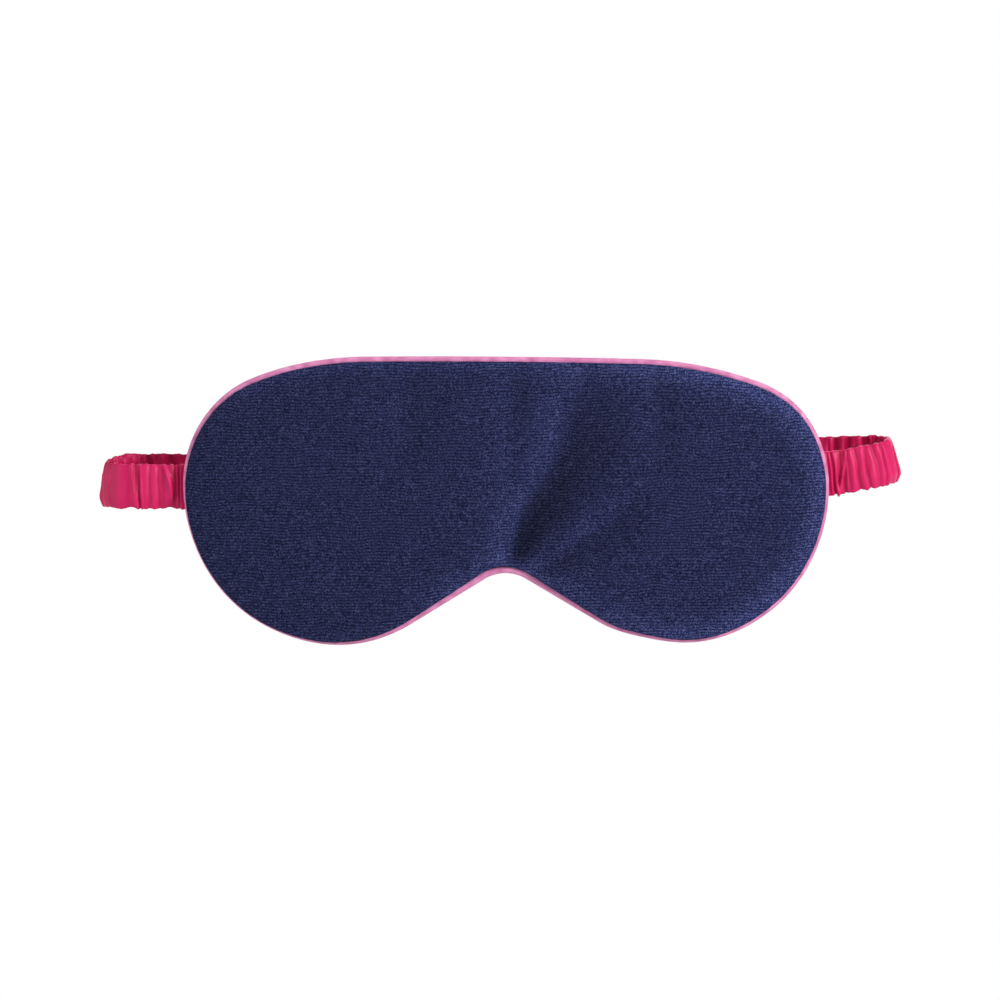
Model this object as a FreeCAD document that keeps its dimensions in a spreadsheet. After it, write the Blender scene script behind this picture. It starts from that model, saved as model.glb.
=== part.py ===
"""Padded sleep mask: a crowned cloth pad with a piped edge and a ruched elastic strap.

The mask stands upright as it is worn.  X runs across the face, Z is up and the front faces -Y.
The origin is the middle of the back face, where the mask lies on the wearer's face.
Every plan outline is the same chain of tangent arcs, set in from the piped edge by its own distance.
"""
import FreeCAD, Part
import math
import os

import Sketcher

Vector = FreeCAD.Vector

SIZES = [
    # overall form
    ("mask_width", 211.0, "overall width over the piping"),
    ("mask_height", 93.8, "overall height over the piping"),
    ("top_radius", 2500.0, "nearly straight top edge"),
    ("shoulder_radius", 105.0, "slope from the top edge to the side"),
    ("shoulder_drop", 5.2, "how far the side arc stays below the top edge"),
    ("side_height", 5.0, "centre of the side arc above the origin"),
    ("cheek_ease", 3.2, "extra radius that flattens the cheek arc"),
    ("lobe_place", 0.2573, "lobe centre from the middle, over the mask's width"),
    ("lobe_size", 0.2171, "lobe radius over the mask's width"),
    ("notch_rise", 22.9, "top of the nose notch above the lowest edge"),
    ("notch_radius", 12.8, "roundness of the nose notch"),
    # edge, seam and layers
    ("seam_depth", 5.0, "seam plane in front of the back face"),
    ("piping_diameter", 2.6, "outside of the covered piping"),
    ("piping_cloth", 0.4, "bias strip of the piping, one layer"),
    ("piping_ease", 0.1, "running room of the cord in its cover"),
    ("panel_ease", 0.15, "room between a panel and its neighbour"),
    ("seam_allowance", 7.0, "turned-in edge of each panel"),
    ("velour_cloth", 1.2, "front panel thickness with its pile"),
    ("satin_cloth", 0.5, "back panel thickness"),
    ("lining_cloth", 0.4, "blackout lining thickness"),
    ("front_depth", 5.4, "front panel from its seat to the crown"),
    ("front_crown", 4.2, "rolled edge of the front panel"),
    ("back_crown", 3.4, "rolled edge of the back panel"),
    ("thread_size", 0.4, "seam thread"),
    # strap
    ("strap_height", 6.5, "middle of the strap above the origin"),
    ("strap_width", 15.5, "casing width, edge ruffles included"),
    ("strap_thickness", 3.0, "gathered casing over the elastic"),
    ("casing_cloth", 0.7, "gathered wall of the casing"),
    ("elastic_width", 12.0, "flat elastic width"),
    ("elastic_thickness", 1.2, "flat elastic thickness"),
    ("strap_reach", 26.0, "strap turn beyond the mask's side"),
    ("turn_radius", 9.0, "strap turn, on its middle line"),
    ("bow_angle", 14.0, "degrees by which the turn stays short of half a circle"),
    ("tail_thickness", 1.8, "flattened strap end"),
    ("tail_reach", 2.0, "sewn-in end showing beyond the mask's side"),
    ("strap_split", 0.3, "gap between the strap's modelled stretches"),
    ("slot_ease", 0.3, "room round the strap end in the back panel"),
]

# Sizes that follow from the ones above, as the expressions that the document's objects share.
PANEL_INSET = "(Sizes.piping_diameter + Sizes.panel_ease)"
ALLOWANCE_INSET = "(Sizes.piping_diameter + Sizes.panel_ease + Sizes.seam_allowance)"
FRONT_SEAT = "(Sizes.seam_depth + Sizes.piping_cloth)"
BACK_SEAT = "(Sizes.seam_depth - Sizes.piping_cloth)"
WADDING_INSET = "(Sizes.piping_diameter + Sizes.panel_ease * 2 + Sizes.velour_cloth)"
PLUG_INSET = "(Sizes.piping_diameter + Sizes.panel_ease * 2 + Sizes.seam_allowance)"
LINING_BACK = "(Sizes.satin_cloth + Sizes.panel_ease)"
LINING_FRONT = "(Sizes.satin_cloth + Sizes.panel_ease + Sizes.lining_cloth)"
SIDE_RADIUS = "(Sizes.mask_height / 2 - Sizes.side_height - Sizes.shoulder_drop)"
LOBE_X = "(Sizes.mask_width * Sizes.lobe_place)"
LOBE_RADIUS = "(Sizes.mask_width * Sizes.lobe_size)"
OFFSET_X = "(Sizes.mask_width / 2 - %s - %s)" % (SIDE_RADIUS, LOBE_X)
OFFSET_Z = "(Sizes.side_height + Sizes.mask_height / 2 - %s)" % LOBE_RADIUS
LAG = "(%s - %s)" % (SIDE_RADIUS, LOBE_RADIUS)
LEVEL_RADIUS = "(%s + (%s^2 + %s^2 - %s^2) / (2 * (%s + %s)))" % (
    SIDE_RADIUS,
    OFFSET_X,
    OFFSET_Z,
    LAG,
    OFFSET_X,
    LAG,
)
EASED_RADIUS = "((sqrt(%s^2 + %s^2) + %s + %s) / 2 + Sizes.cheek_ease)" % (
    OFFSET_X,
    OFFSET_Z,
    SIDE_RADIUS,
    LOBE_RADIUS,
)
CHEEK_RADIUS = "max(%s; %s)" % (LEVEL_RADIUS, EASED_RADIUS)
EDGE_SAG = "(%s - sqrt(%s^2 - (Sizes.strap_width / 2 + abs(Sizes.strap_height - Sizes.side_height))^2))" % (
    SIDE_RADIUS,
    SIDE_RADIUS,
)
TAIL_BACK = "(Sizes.seam_depth - Sizes.piping_diameter / 2 - Sizes.panel_ease - Sizes.tail_thickness)"
SLOT_DEPTH = "(%s - %s + Sizes.slot_ease)" % (BACK_SEAT, TAIL_BACK)

doc = FreeCAD.newDocument("SleepMask")


def make_sheet():
    """Writes the driving sizes, one alias to a row."""
    sheet = doc.addObject("Spreadsheet::Sheet", "Sizes")
    for row, (alias, value, note) in enumerate(SIZES, start=1):
        sheet.set("A%d" % row, alias)
        sheet.set("B%d" % row, str(value))
        sheet.set("C%d" % row, note)
        sheet.setAlias("B%d" % row, alias)
    doc.recompute()
    return sheet


sheet = make_sheet()
size = {alias: float(sheet.get(alias)) for alias, _, _ in SIZES}

front_seat = size["seam_depth"] + size["piping_cloth"]
back_seat = size["seam_depth"] - size["piping_cloth"]
panel_inset = size["piping_diameter"] + size["panel_ease"]
allowance_inset = panel_inset + size["seam_allowance"]
wadding_inset = panel_inset + size["panel_ease"] + size["velour_cloth"]
plug_inset = allowance_inset + size["panel_ease"]


# ---------------------------------------------------------------- document helpers
def make_body(label):
    """A PartDesign body whose label is the name of the sub-part."""
    body = doc.addObject("PartDesign::Body", label)
    body.Label = label
    return body


def origin_plane(body, role):
    """One of the body's own origin planes, found by its role."""
    return next(f for f in body.Origin.OriginFeatures if f.Role == role)


def make_sketch(body, name, role, depth=None):
    """A sketch on an origin plane, moved along the plane's normal by the expression given."""
    sketch = body.newObject("Sketcher::SketchObject", name)
    sketch.AttachmentSupport = [(origin_plane(body, role), "")]
    sketch.MapMode = "FlatFace"
    if depth is not None:
        sketch.setExpression("AttachmentOffset.Base.z", depth)
    return sketch


def bind(sketch, constraint, expression):
    """Adds one dimension to a sketch and ties it to the sheet."""
    index = sketch.addConstraint(constraint)
    sketch.setExpression("Constraints[%d]" % index, expression)


def make_pad(body, name, sketch, length, reverse=False, midplane=False):
    """Pads a sketch by the expression given."""
    pad = body.newObject("PartDesign::Pad", name)
    pad.Profile = sketch
    pad.Reversed = reverse
    pad.Midplane = midplane
    pad.setExpression("Length", length)
    doc.recompute()
    return pad


def make_pocket(body, name, sketch, length, reverse=False, midplane=False):
    """Pockets a sketch by the expression given, and makes sure that it removed something."""
    before = body.Tip.Shape.Volume
    pocket = body.newObject("PartDesign::Pocket", name)
    pocket.Profile = sketch
    pocket.Reversed = reverse
    pocket.Midplane = midplane
    pocket.setExpression("Length", length)
    doc.recompute()
    if pocket.Shape.Volume > before - 0.01:
        raise RuntimeError(name + " cuts nothing")
    return pocket


def face_at(feature, y):
    """The name of the feature's flat face that lies square to Y at the height given."""
    for index, face in enumerate(feature.Shape.Faces, start=1):
        box = face.BoundBox
        if box.YLength < 1e-4 and abs(box.YMin - y) < 1e-4:
            return "Face%d" % index
    raise RuntimeError("no face at y=%.3f on %s" % (y, feature.Name))


def make_fillet(body, name, base, y, radius):
    """Rounds every edge of the flat face at y."""
    fillet = body.newObject("PartDesign::Fillet", name)
    fillet.Base = (base, [face_at(base, y)])
    fillet.setExpression("Radius", radius)
    doc.recompute()
    return fillet


def make_shell(body, name, base, y, wall):
    """Hollows the body from the flat face at y, leaving the wall inside its outline."""
    shell = body.newObject("PartDesign::Thickness", name)
    shell.Base = (base, [face_at(base, y)])
    shell.Reversed = True
    shell.Join = 0
    shell.setExpression("Value", wall)
    doc.recompute()
    return shell


# ---------------------------------------------------------------- the mask's outline
def circle_crossings(centre_a, radius_a, centre_b, radius_b):
    """Both points where two circles cross, the one to the left of a-to-b first."""
    span = centre_b - centre_a
    reach = span.Length
    along = (radius_a ** 2 - radius_b ** 2 + reach ** 2) / (2 * reach)
    across = math.sqrt(radius_a ** 2 - along ** 2)
    unit = span * (1 / reach)
    left = Vector(-unit.y, unit.x, 0)
    foot = centre_a + unit * along
    return foot + left * across, foot - left * across


def bearing(centre, point):
    """Angle of a point seen from a centre."""
    return math.atan2(point.y - centre.y, point.x - centre.x)


def outline_half():
    """Centres, radii and joining angles of the right half of the piped edge.

    The widest point stays on the side arc: the cheek arc is never tighter than one that leaves the side
    arc level with its centre.
    """
    half_height = size["mask_height"] / 2
    half_width = size["mask_width"] / 2
    side_radius = half_height - size["side_height"] - size["shoulder_drop"]
    side = Vector(half_width - side_radius, size["side_height"], 0)
    lobe_radius = size["mask_width"] * size["lobe_size"]
    lobe = Vector(size["mask_width"] * size["lobe_place"], lobe_radius - half_height, 0)
    top = Vector(0, half_height - size["top_radius"], 0)
    notch = Vector(0, size["notch_rise"] - half_height - size["notch_radius"], 0)
    offset = side - lobe
    lag = side_radius - lobe_radius
    level_radius = side_radius + (offset.Length ** 2 - lag ** 2) / (2 * (offset.x + lag))
    eased_radius = (offset.Length + side_radius + lobe_radius) / 2 + size["cheek_ease"]
    cheek_radius = max(level_radius, eased_radius)
    cheek = circle_crossings(lobe, cheek_radius - lobe_radius, side, cheek_radius - side_radius)[0]
    shoulder_radius = size["shoulder_radius"]
    shoulder = min(
        circle_crossings(top, size["top_radius"] - shoulder_radius, side, shoulder_radius - side_radius),
        key=lambda point: point.x,
    )
    run = lobe - notch
    flank = bearing(Vector(), run) + math.acos((size["notch_radius"] + lobe_radius) / run.Length)
    arcs = {
        "top": (top, size["top_radius"], bearing(top, shoulder), math.pi / 2),
        "shoulder": (shoulder, shoulder_radius, bearing(shoulder, side), bearing(top, shoulder)),
        "side": (side, side_radius, bearing(cheek, side), bearing(shoulder, side)),
        "cheek": (cheek, cheek_radius, bearing(cheek, lobe), bearing(cheek, side)),
        "lobe": (lobe, lobe_radius, flank - math.pi, bearing(cheek, lobe)),
        "notch": (notch, size["notch_radius"], flank, math.pi - flank),
    }
    return arcs


OUTLINE = outline_half()
RADIUS_OF = {
    "top": "Sizes.top_radius",
    "shoulder": "Sizes.shoulder_radius",
    "side": SIDE_RADIUS,
    "lobe": LOBE_RADIUS,
    "notch": "Sizes.notch_radius",
}


def arc_edge(centre, radius, start, end):
    """One arc of a sketch, counter-clockwise."""
    return Part.ArcOfCircle(Part.Circle(centre, Vector(0, 0, 1), radius), start, end)


def polar(centre, radius, angle):
    """A point on a circle."""
    return centre + Vector(math.cos(angle), math.sin(angle), 0) * radius


def mirrored(arc):
    """The same arc on the left half of the mask."""
    centre, radius, start, end = arc
    return Vector(-centre.x, centre.y, 0), radius, math.pi - end, math.pi - start


def draw_outline(sketch, inset, inset_expression):
    """Adds the closed outline, set in from the piped edge, and constrains it fully.

    The chain starts at the middle of the top edge and runs counter-clockwise.  Setting an outline in keeps
    every centre: outer arcs lose the distance from their radius and the notch gains it.
    """
    right = {}
    for name, (centre, radius, start, end) in OUTLINE.items():
        change = inset if name == "notch" else -inset
        right[name] = (centre, radius + change, start, end)
    left = {name: mirrored(arc) for name, arc in right.items()}
    lobe_centre, lobe_radius, flank_end, _ = right["lobe"]
    notch_centre, notch_radius, flank_start, _ = right["notch"]
    flank_low = polar(lobe_centre, lobe_radius, flank_end)
    flank_high = polar(notch_centre, notch_radius, flank_start)
    mirror = lambda point: Vector(-point.x, point.y, 0)
    chain = [
        arc_edge(*left["top"]),
        arc_edge(*left["shoulder"]),
        arc_edge(*left["side"]),
        arc_edge(*left["cheek"]),
        arc_edge(*left["lobe"]),
        Part.LineSegment(mirror(flank_low), mirror(flank_high)),
        arc_edge(*right["notch"]),
        Part.LineSegment(flank_high, flank_low),
        arc_edge(*right["lobe"]),
        arc_edge(*right["cheek"]),
        arc_edge(*right["side"]),
        arc_edge(*right["shoulder"]),
        arc_edge(*right["top"]),
    ]
    first = sketch.GeometryCount
    for edge in chain:
        sketch.addGeometry(edge, False)
    top_l, shoulder_l, side_l, cheek_l, lobe_l, _, notch, _, lobe_r, cheek_r, side_r, shoulder_r, top_r = range(
        first, first + len(chain)
    )
    for index in range(first, first + len(chain) - 1):
        leave = 1 if index == notch else 2
        arrive = 2 if index + 1 == notch else 1
        sketch.addConstraint(Sketcher.Constraint("Tangent", index, leave, index + 1, arrive))
    sketch.addConstraint(Sketcher.Constraint("Coincident", top_r, 2, top_l, 1))
    sketch.addConstraint(Sketcher.Constraint("PointOnObject", top_r, 2, -2))
    sketch.addConstraint(Sketcher.Constraint("PointOnObject", top_r, 3, -2))
    sketch.addConstraint(Sketcher.Constraint("Coincident", top_r, 3, top_l, 3))
    sketch.addConstraint(Sketcher.Constraint("PointOnObject", notch, 3, -2))
    for twin_l, twin_r in ((side_l, side_r), (lobe_l, lobe_r)):
        sketch.addConstraint(Sketcher.Constraint("Symmetric", twin_l, 3, twin_r, 3, -2))
    for twin_l, twin_r in ((side_l, side_r), (lobe_l, lobe_r), (cheek_l, cheek_r), (shoulder_l, shoulder_r)):
        sketch.addConstraint(Sketcher.Constraint("Equal", twin_l, twin_r))
    for name, index in (("top", top_r), ("shoulder", shoulder_r), ("side", side_r), ("lobe", lobe_r)):
        radius = Sketcher.Constraint("Radius", index, right[name][1])
        bind(sketch, radius, "%s - %s" % (RADIUS_OF[name], inset_expression))
    bind(
        sketch,
        Sketcher.Constraint("Radius", notch, right["notch"][1]),
        "Sizes.notch_radius + %s" % inset_expression,
    )
    cheek = "%s - %s" % (CHEEK_RADIUS, inset_expression)
    bind(sketch, Sketcher.Constraint("Radius", cheek_r, right["cheek"][1]), cheek)
    places = (
        ("DistanceX", side_r, right["side"][0].x, "Sizes.mask_width / 2 - " + SIDE_RADIUS),
        ("DistanceY", side_r, right["side"][0].y, "Sizes.side_height"),
        ("DistanceX", lobe_r, right["lobe"][0].x, LOBE_X),
        ("DistanceY", lobe_r, right["lobe"][0].y, LOBE_RADIUS + " - Sizes.mask_height / 2"),
        ("DistanceY", top_r, right["top"][0].y, "Sizes.mask_height / 2 - Sizes.top_radius"),
        ("DistanceY", notch, right["notch"][0].y, "Sizes.notch_rise - Sizes.mask_height / 2 - Sizes.notch_radius"),
    )
    for kind, index, value, expression in places:
        bind(sketch, Sketcher.Constraint(kind, -1, 1, index, 3, value), expression)


# ---------------------------------------------------------------- panels and filling
def make_front_panel():
    """Velour panel: a crowned tray whose turned-in edge lies on the piping flange."""
    body = make_body("front_panel")
    outline = make_sketch(body, "front_outline", "XZ_Plane", FRONT_SEAT)
    draw_outline(outline, panel_inset, PANEL_INSET)
    block = make_pad(body, "front_block", outline, "Sizes.front_depth")
    crown = make_fillet(body, "front_roll", block, -front_seat - size["front_depth"], "Sizes.front_crown")
    make_shell(body, "front_hollow", crown, -front_seat, "Sizes.velour_cloth")
    turned = make_sketch(body, "front_turned_edge", "XZ_Plane", FRONT_SEAT)
    draw_outline(turned, panel_inset, PANEL_INSET)
    draw_outline(turned, allowance_inset, ALLOWANCE_INSET)
    make_pad(body, "front_allowance", turned, "Sizes.velour_cloth")
    return body


def make_back_panel():
    """Satin panel: a shallower tray behind the flange, slotted where the strap ends pass."""
    body = make_body("back_panel")
    outline = make_sketch(body, "back_outline", "XZ_Plane", BACK_SEAT)
    draw_outline(outline, panel_inset, PANEL_INSET)
    block = make_pad(body, "back_block", outline, BACK_SEAT, reverse=True)
    crown = make_fillet(body, "back_roll", block, 0.0, "Sizes.back_crown")
    make_shell(body, "back_hollow", crown, -back_seat, "Sizes.satin_cloth")
    turned = make_sketch(body, "back_turned_edge", "XZ_Plane", BACK_SEAT)
    draw_outline(turned, panel_inset, PANEL_INSET)
    draw_outline(turned, allowance_inset, ALLOWANCE_INSET)
    make_pad(body, "back_allowance", turned, "Sizes.satin_cloth", reverse=True)
    slots = make_sketch(body, "strap_slots", "XZ_Plane", BACK_SEAT)
    half = size["strap_width"] / 2 + size["slot_ease"]
    inner = size["mask_width"] / 2 - allowance_inset - size["panel_ease"]
    outer = size["mask_width"] / 2
    for side in (1, -1):
        draw_box(slots, side, inner, outer, size["strap_height"] - half, size["strap_height"] + half)
    make_pocket(body, "strap_openings", slots, SLOT_DEPTH)
    return body


def draw_box(sketch, side, inner, outer, low, high):
    """A four-sided slot on one side of the mask, tied to the strap and to the turned-in edge."""
    corners = [
        Vector(side * inner, low, 0),
        Vector(side * outer, low, 0),
        Vector(side * outer, high, 0),
        Vector(side * inner, high, 0),
    ]
    first = sketch.GeometryCount
    for index in range(4):
        sketch.addGeometry(Part.LineSegment(corners[index], corners[(index + 1) % 4]), False)
    for index in range(4):
        sketch.addConstraint(Sketcher.Constraint("Coincident", first + index, 2, first + (index + 1) % 4, 1))
    for index, kind in ((0, "Horizontal"), (1, "Vertical"), (2, "Horizontal"), (3, "Vertical")):
        sketch.addConstraint(Sketcher.Constraint(kind, first + index))
    half = "(Sizes.strap_width / 2 + Sizes.slot_ease)"
    sign = "" if side > 0 else "-1 * "
    inner_expression = "%s(Sizes.mask_width / 2 - %s - Sizes.panel_ease)" % (sign, ALLOWANCE_INSET)
    bind(sketch, Sketcher.Constraint("DistanceX", -1, 1, first, 1, side * inner), inner_expression)
    bind(sketch, Sketcher.Constraint("DistanceX", -1, 1, first, 2, side * outer), sign + "Sizes.mask_width / 2")
    bind(sketch, Sketcher.Constraint("DistanceY", -1, 1, first, 1, low), "Sizes.strap_height - " + half)
    bind(sketch, Sketcher.Constraint("DistanceY", -1, 1, first + 2, 1, high), "Sizes.strap_height + " + half)


def make_wadding():
    """Wadding: fills the crown, and is pressed thin over the turned-in edges and the seam."""
    body = make_body("wadding")
    reach = "(Sizes.front_depth - Sizes.velour_cloth - Sizes.panel_ease)"
    outline = make_sketch(body, "wadding_outline", "XZ_Plane", FRONT_SEAT)
    draw_outline(outline, wadding_inset, WADDING_INSET)
    block = make_pad(body, "wadding_block", outline, reach)
    crown_y = -front_seat - size["front_depth"] + size["velour_cloth"] + size["panel_ease"]
    roll = "Sizes.front_crown - Sizes.velour_cloth - Sizes.panel_ease"
    make_fillet(body, "wadding_roll", block, crown_y, roll)
    relief = make_sketch(body, "wadding_relief", "XZ_Plane", FRONT_SEAT)
    draw_outline(relief, wadding_inset - size["velour_cloth"], "(%s - Sizes.velour_cloth)" % WADDING_INSET)
    draw_outline(relief, plug_inset, PLUG_INSET)
    depth = "Sizes.velour_cloth + Sizes.thread_size + Sizes.panel_ease * 2"
    make_pocket(body, "over_the_seam", relief, depth, reverse=True)
    plug = make_sketch(body, "wadding_plug", "XZ_Plane", FRONT_SEAT)
    draw_outline(plug, plug_inset, PLUG_INSET)
    make_pad(body, "wadding_core", plug, "%s - %s - Sizes.panel_ease" % (FRONT_SEAT, LINING_FRONT), reverse=True)
    return body


def make_lining():
    """Blackout lining: one flat layer between the wadding and the back panel."""
    body = make_body("blackout_lining")
    sketch = make_sketch(body, "lining_outline", "XZ_Plane", LINING_BACK)
    inset = panel_inset + size["back_crown"]
    draw_outline(sketch, inset, "(%s + Sizes.back_crown)" % PANEL_INSET)
    make_pad(body, "lining_layer", sketch, "Sizes.lining_cloth")
    return body


# ---------------------------------------------------------------- piping and seam
def make_ring(body, name, feature, radius, radius_expression):
    """Sweeps a circle round the piping's middle line, from the middle of the top edge.

    feature is the kind of sweep: additive for a cord, subtractive for the bore in a cover.
    """
    path = make_sketch(body, name + "_path", "XZ_Plane", "Sizes.seam_depth")
    inset = size["piping_diameter"] / 2
    draw_outline(path, inset, "(Sizes.piping_diameter / 2)")
    section = make_sketch(body, name + "_section", "YZ_Plane")
    height = size["mask_height"] / 2 - inset
    index = section.addGeometry(
        Part.Circle(Vector(-size["seam_depth"], height, 0), Vector(0, 0, 1), radius), False
    )
    bind(section, Sketcher.Constraint("Radius", index, radius), radius_expression)
    across = Sketcher.Constraint("DistanceX", -1, 1, index, 3, -size["seam_depth"])
    bind(section, across, "-1 * Sizes.seam_depth")
    up = Sketcher.Constraint("DistanceY", -1, 1, index, 3, height)
    bind(section, up, "Sizes.mask_height / 2 - Sizes.piping_diameter / 2")
    doc.recompute()
    sweep = body.newObject(feature, name + "_sweep")
    sweep.Profile = section
    sweep.Spine = path
    doc.recompute()
    return sweep


def make_piping_cover():
    """Piping cover: a bias strip folded round the cord, its flange held between the panels."""
    body = make_body("piping_cover")
    radius = size["piping_diameter"] / 2
    make_ring(body, "piping", "PartDesign::AdditivePipe", radius, "Sizes.piping_diameter / 2")
    flange = make_sketch(body, "flange_outline", "XZ_Plane", BACK_SEAT)
    root = size["piping_diameter"] - size["piping_cloth"] / 2
    draw_outline(flange, root, "(Sizes.piping_diameter - Sizes.piping_cloth / 2)")
    draw_outline(flange, allowance_inset, ALLOWANCE_INSET)
    make_pad(body, "flange", flange, "Sizes.piping_cloth * 2")
    bore = radius - size["piping_cloth"]
    before = body.Tip.Shape.Volume
    channel = make_ring(
        body, "bore", "PartDesign::SubtractivePipe", bore, "Sizes.piping_diameter / 2 - Sizes.piping_cloth"
    )
    if channel.Shape.Volume > before - 1.0:
        raise RuntimeError("the piping has no bore")
    return body


def make_piping_cord():
    """Piping cord: the round filler inside the cover."""
    body = make_body("piping_cord")
    radius = size["piping_diameter"] / 2 - size["piping_cloth"] - size["piping_ease"]
    expression = "Sizes.piping_diameter / 2 - Sizes.piping_cloth - Sizes.piping_ease"
    make_ring(body, "cord", "PartDesign::AdditivePipe", radius, expression)
    return body


def make_edge_seam():
    """Edge seam: the thread that lies along the front panel's turned-in edge, beside its wall."""
    body = make_body("edge_seam")
    seat = "(%s + Sizes.velour_cloth)" % FRONT_SEAT
    line = make_sketch(body, "thread_line", "XZ_Plane", seat)
    outer = panel_inset + size["velour_cloth"] + size["thread_size"]
    outer_expression = "(%s + Sizes.velour_cloth + Sizes.thread_size)" % PANEL_INSET
    draw_outline(line, outer, outer_expression)
    inner_expression = "(%s + Sizes.velour_cloth + Sizes.thread_size * 2)" % PANEL_INSET
    draw_outline(line, outer + size["thread_size"], inner_expression)
    make_pad(body, "thread", line, "Sizes.thread_size")
    return body


# ---------------------------------------------------------------- strap
strap_y = -(size["seam_depth"] - size["piping_diameter"] / 2 - size["panel_ease"] - size["tail_thickness"] / 2)
strap_start = size["mask_width"] / 2 + size["tail_reach"] + size["strap_split"]
turn_x = size["mask_width"] / 2 + size["strap_reach"] - size["strap_thickness"] / 2 - size["turn_radius"]
bow = math.radians(size["bow_angle"])
back_radius = size["turn_radius"] + turn_x / math.sin(bow)
back_centre = strap_y + size["turn_radius"] - (back_radius - size["turn_radius"]) * math.cos(bow)

STRAP_Y = "(-1 * (Sizes.seam_depth - Sizes.piping_diameter / 2 - Sizes.panel_ease - Sizes.tail_thickness / 2))"
STRAP_START = "(Sizes.mask_width / 2 + Sizes.tail_reach + Sizes.strap_split)"
TURN_X = "(Sizes.mask_width / 2 + Sizes.strap_reach - Sizes.strap_thickness / 2 - Sizes.turn_radius)"
BACK_RADIUS = "(Sizes.turn_radius + %s / sin(Sizes.bow_angle * 1deg))" % TURN_X
BACK_CENTRE = "(%s + Sizes.turn_radius - (%s - Sizes.turn_radius) * cos(Sizes.bow_angle * 1deg))" % (
    STRAP_Y,
    BACK_RADIUS,
)


def draw_strap_path(sketch, side):
    """The strap's middle line in plan: straight out from the mask, then the turn behind it."""
    start = Vector(side * strap_start, strap_y, 0)
    bend = Vector(side * turn_x, strap_y, 0)
    centre = Vector(side * turn_x, strap_y + size["turn_radius"], 0)
    run = sketch.addGeometry(Part.LineSegment(start, bend), False)
    if side > 0:
        turn = sketch.addGeometry(arc_edge(centre, size["turn_radius"], -math.pi / 2, math.pi / 2 - bow), False)
        near, far = 1, 2
    else:
        turn = sketch.addGeometry(
            arc_edge(centre, size["turn_radius"], math.pi / 2 + bow, 3 * math.pi / 2), False
        )
        near, far = 2, 1
    sign = "" if side > 0 else "-1 * "
    sketch.addConstraint(Sketcher.Constraint("Horizontal", run))
    sketch.addConstraint(Sketcher.Constraint("Tangent", run, 2, turn, near))
    bind(sketch, Sketcher.Constraint("DistanceX", -1, 1, run, 1, start.x), sign + STRAP_START)
    bind(sketch, Sketcher.Constraint("DistanceY", -1, 1, run, 1, start.y), STRAP_Y)
    bind(sketch, Sketcher.Constraint("DistanceX", -1, 1, turn, 3, centre.x), sign + TURN_X)
    bind(sketch, Sketcher.Constraint("Radius", turn, size["turn_radius"]), "Sizes.turn_radius")
    end_x = side * (turn_x + size["turn_radius"] * math.sin(bow))
    end_expression = "%s(%s + Sizes.turn_radius * sin(Sizes.bow_angle * 1deg))" % (sign, TURN_X)
    bind(sketch, Sketcher.Constraint("DistanceX", -1, 1, turn, far, end_x), end_expression)


def draw_rectangle(sketch, width, height, centre_x, centre_y, expressions):
    """A rectangle about a centre; expressions are its width, height and centre."""
    low = Vector(centre_x - width / 2, centre_y - height / 2, 0)
    high = Vector(centre_x + width / 2, centre_y + height / 2, 0)
    corners = [low, Vector(high.x, low.y, 0), high, Vector(low.x, high.y, 0)]
    first = sketch.GeometryCount
    for index in range(4):
        sketch.addGeometry(Part.LineSegment(corners[index], corners[(index + 1) % 4]), False)
    for index in range(4):
        sketch.addConstraint(Sketcher.Constraint("Coincident", first + index, 2, first + (index + 1) % 4, 1))
    for index, kind in ((0, "Horizontal"), (1, "Vertical"), (2, "Horizontal"), (3, "Vertical")):
        sketch.addConstraint(Sketcher.Constraint(kind, first + index))
    width_x, height_x, middle_x, middle_y = expressions
    bind(sketch, Sketcher.Constraint("DistanceX", first, 1, first, 2, width), width_x)
    bind(sketch, Sketcher.Constraint("DistanceY", first + 1, 1, first + 1, 2, height), height_x)
    bind(sketch, Sketcher.Constraint("DistanceX", -1, 1, first, 1, low.x), "%s - %s / 2" % (middle_x, width_x))
    bind(sketch, Sketcher.Constraint("DistanceY", -1, 1, first, 1, low.y), "%s - %s / 2" % (middle_y, height_x))


CASING = ("Sizes.strap_thickness", "Sizes.strap_width")
CHANNEL = ("(Sizes.strap_thickness - Sizes.casing_cloth * 2)", "(Sizes.strap_width - Sizes.casing_cloth * 2)")
ELASTIC = ("Sizes.elastic_thickness", "Sizes.elastic_width")
CASING_SIZE = (size["strap_thickness"], size["strap_width"])
CHANNEL_SIZE = tuple(value - size["casing_cloth"] * 2 for value in CASING_SIZE)
ELASTIC_SIZE = (size["elastic_thickness"], size["elastic_width"])


def make_strap_side(label, side, sections):
    """One side stretch of the strap: its section swept along the straight run and the turn."""
    body = make_body(label)
    path = make_sketch(body, label + "_path", "XY_Plane", "Sizes.strap_height")
    draw_strap_path(path, side)
    sign = "" if side > 0 else "-1 * "
    section = make_sketch(body, label + "_section", "YZ_Plane", sign + STRAP_START)
    for (thickness, width), (thickness_x, width_x) in sections:
        expressions = (thickness_x, width_x, STRAP_Y, "Sizes.strap_height")
        draw_rectangle(section, thickness, width, strap_y, size["strap_height"], expressions)
    doc.recompute()
    sweep = body.newObject("PartDesign::AdditivePipe", label + "_sweep")
    sweep.Profile = section
    sweep.Spine = path
    doc.recompute()
    return body


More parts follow.
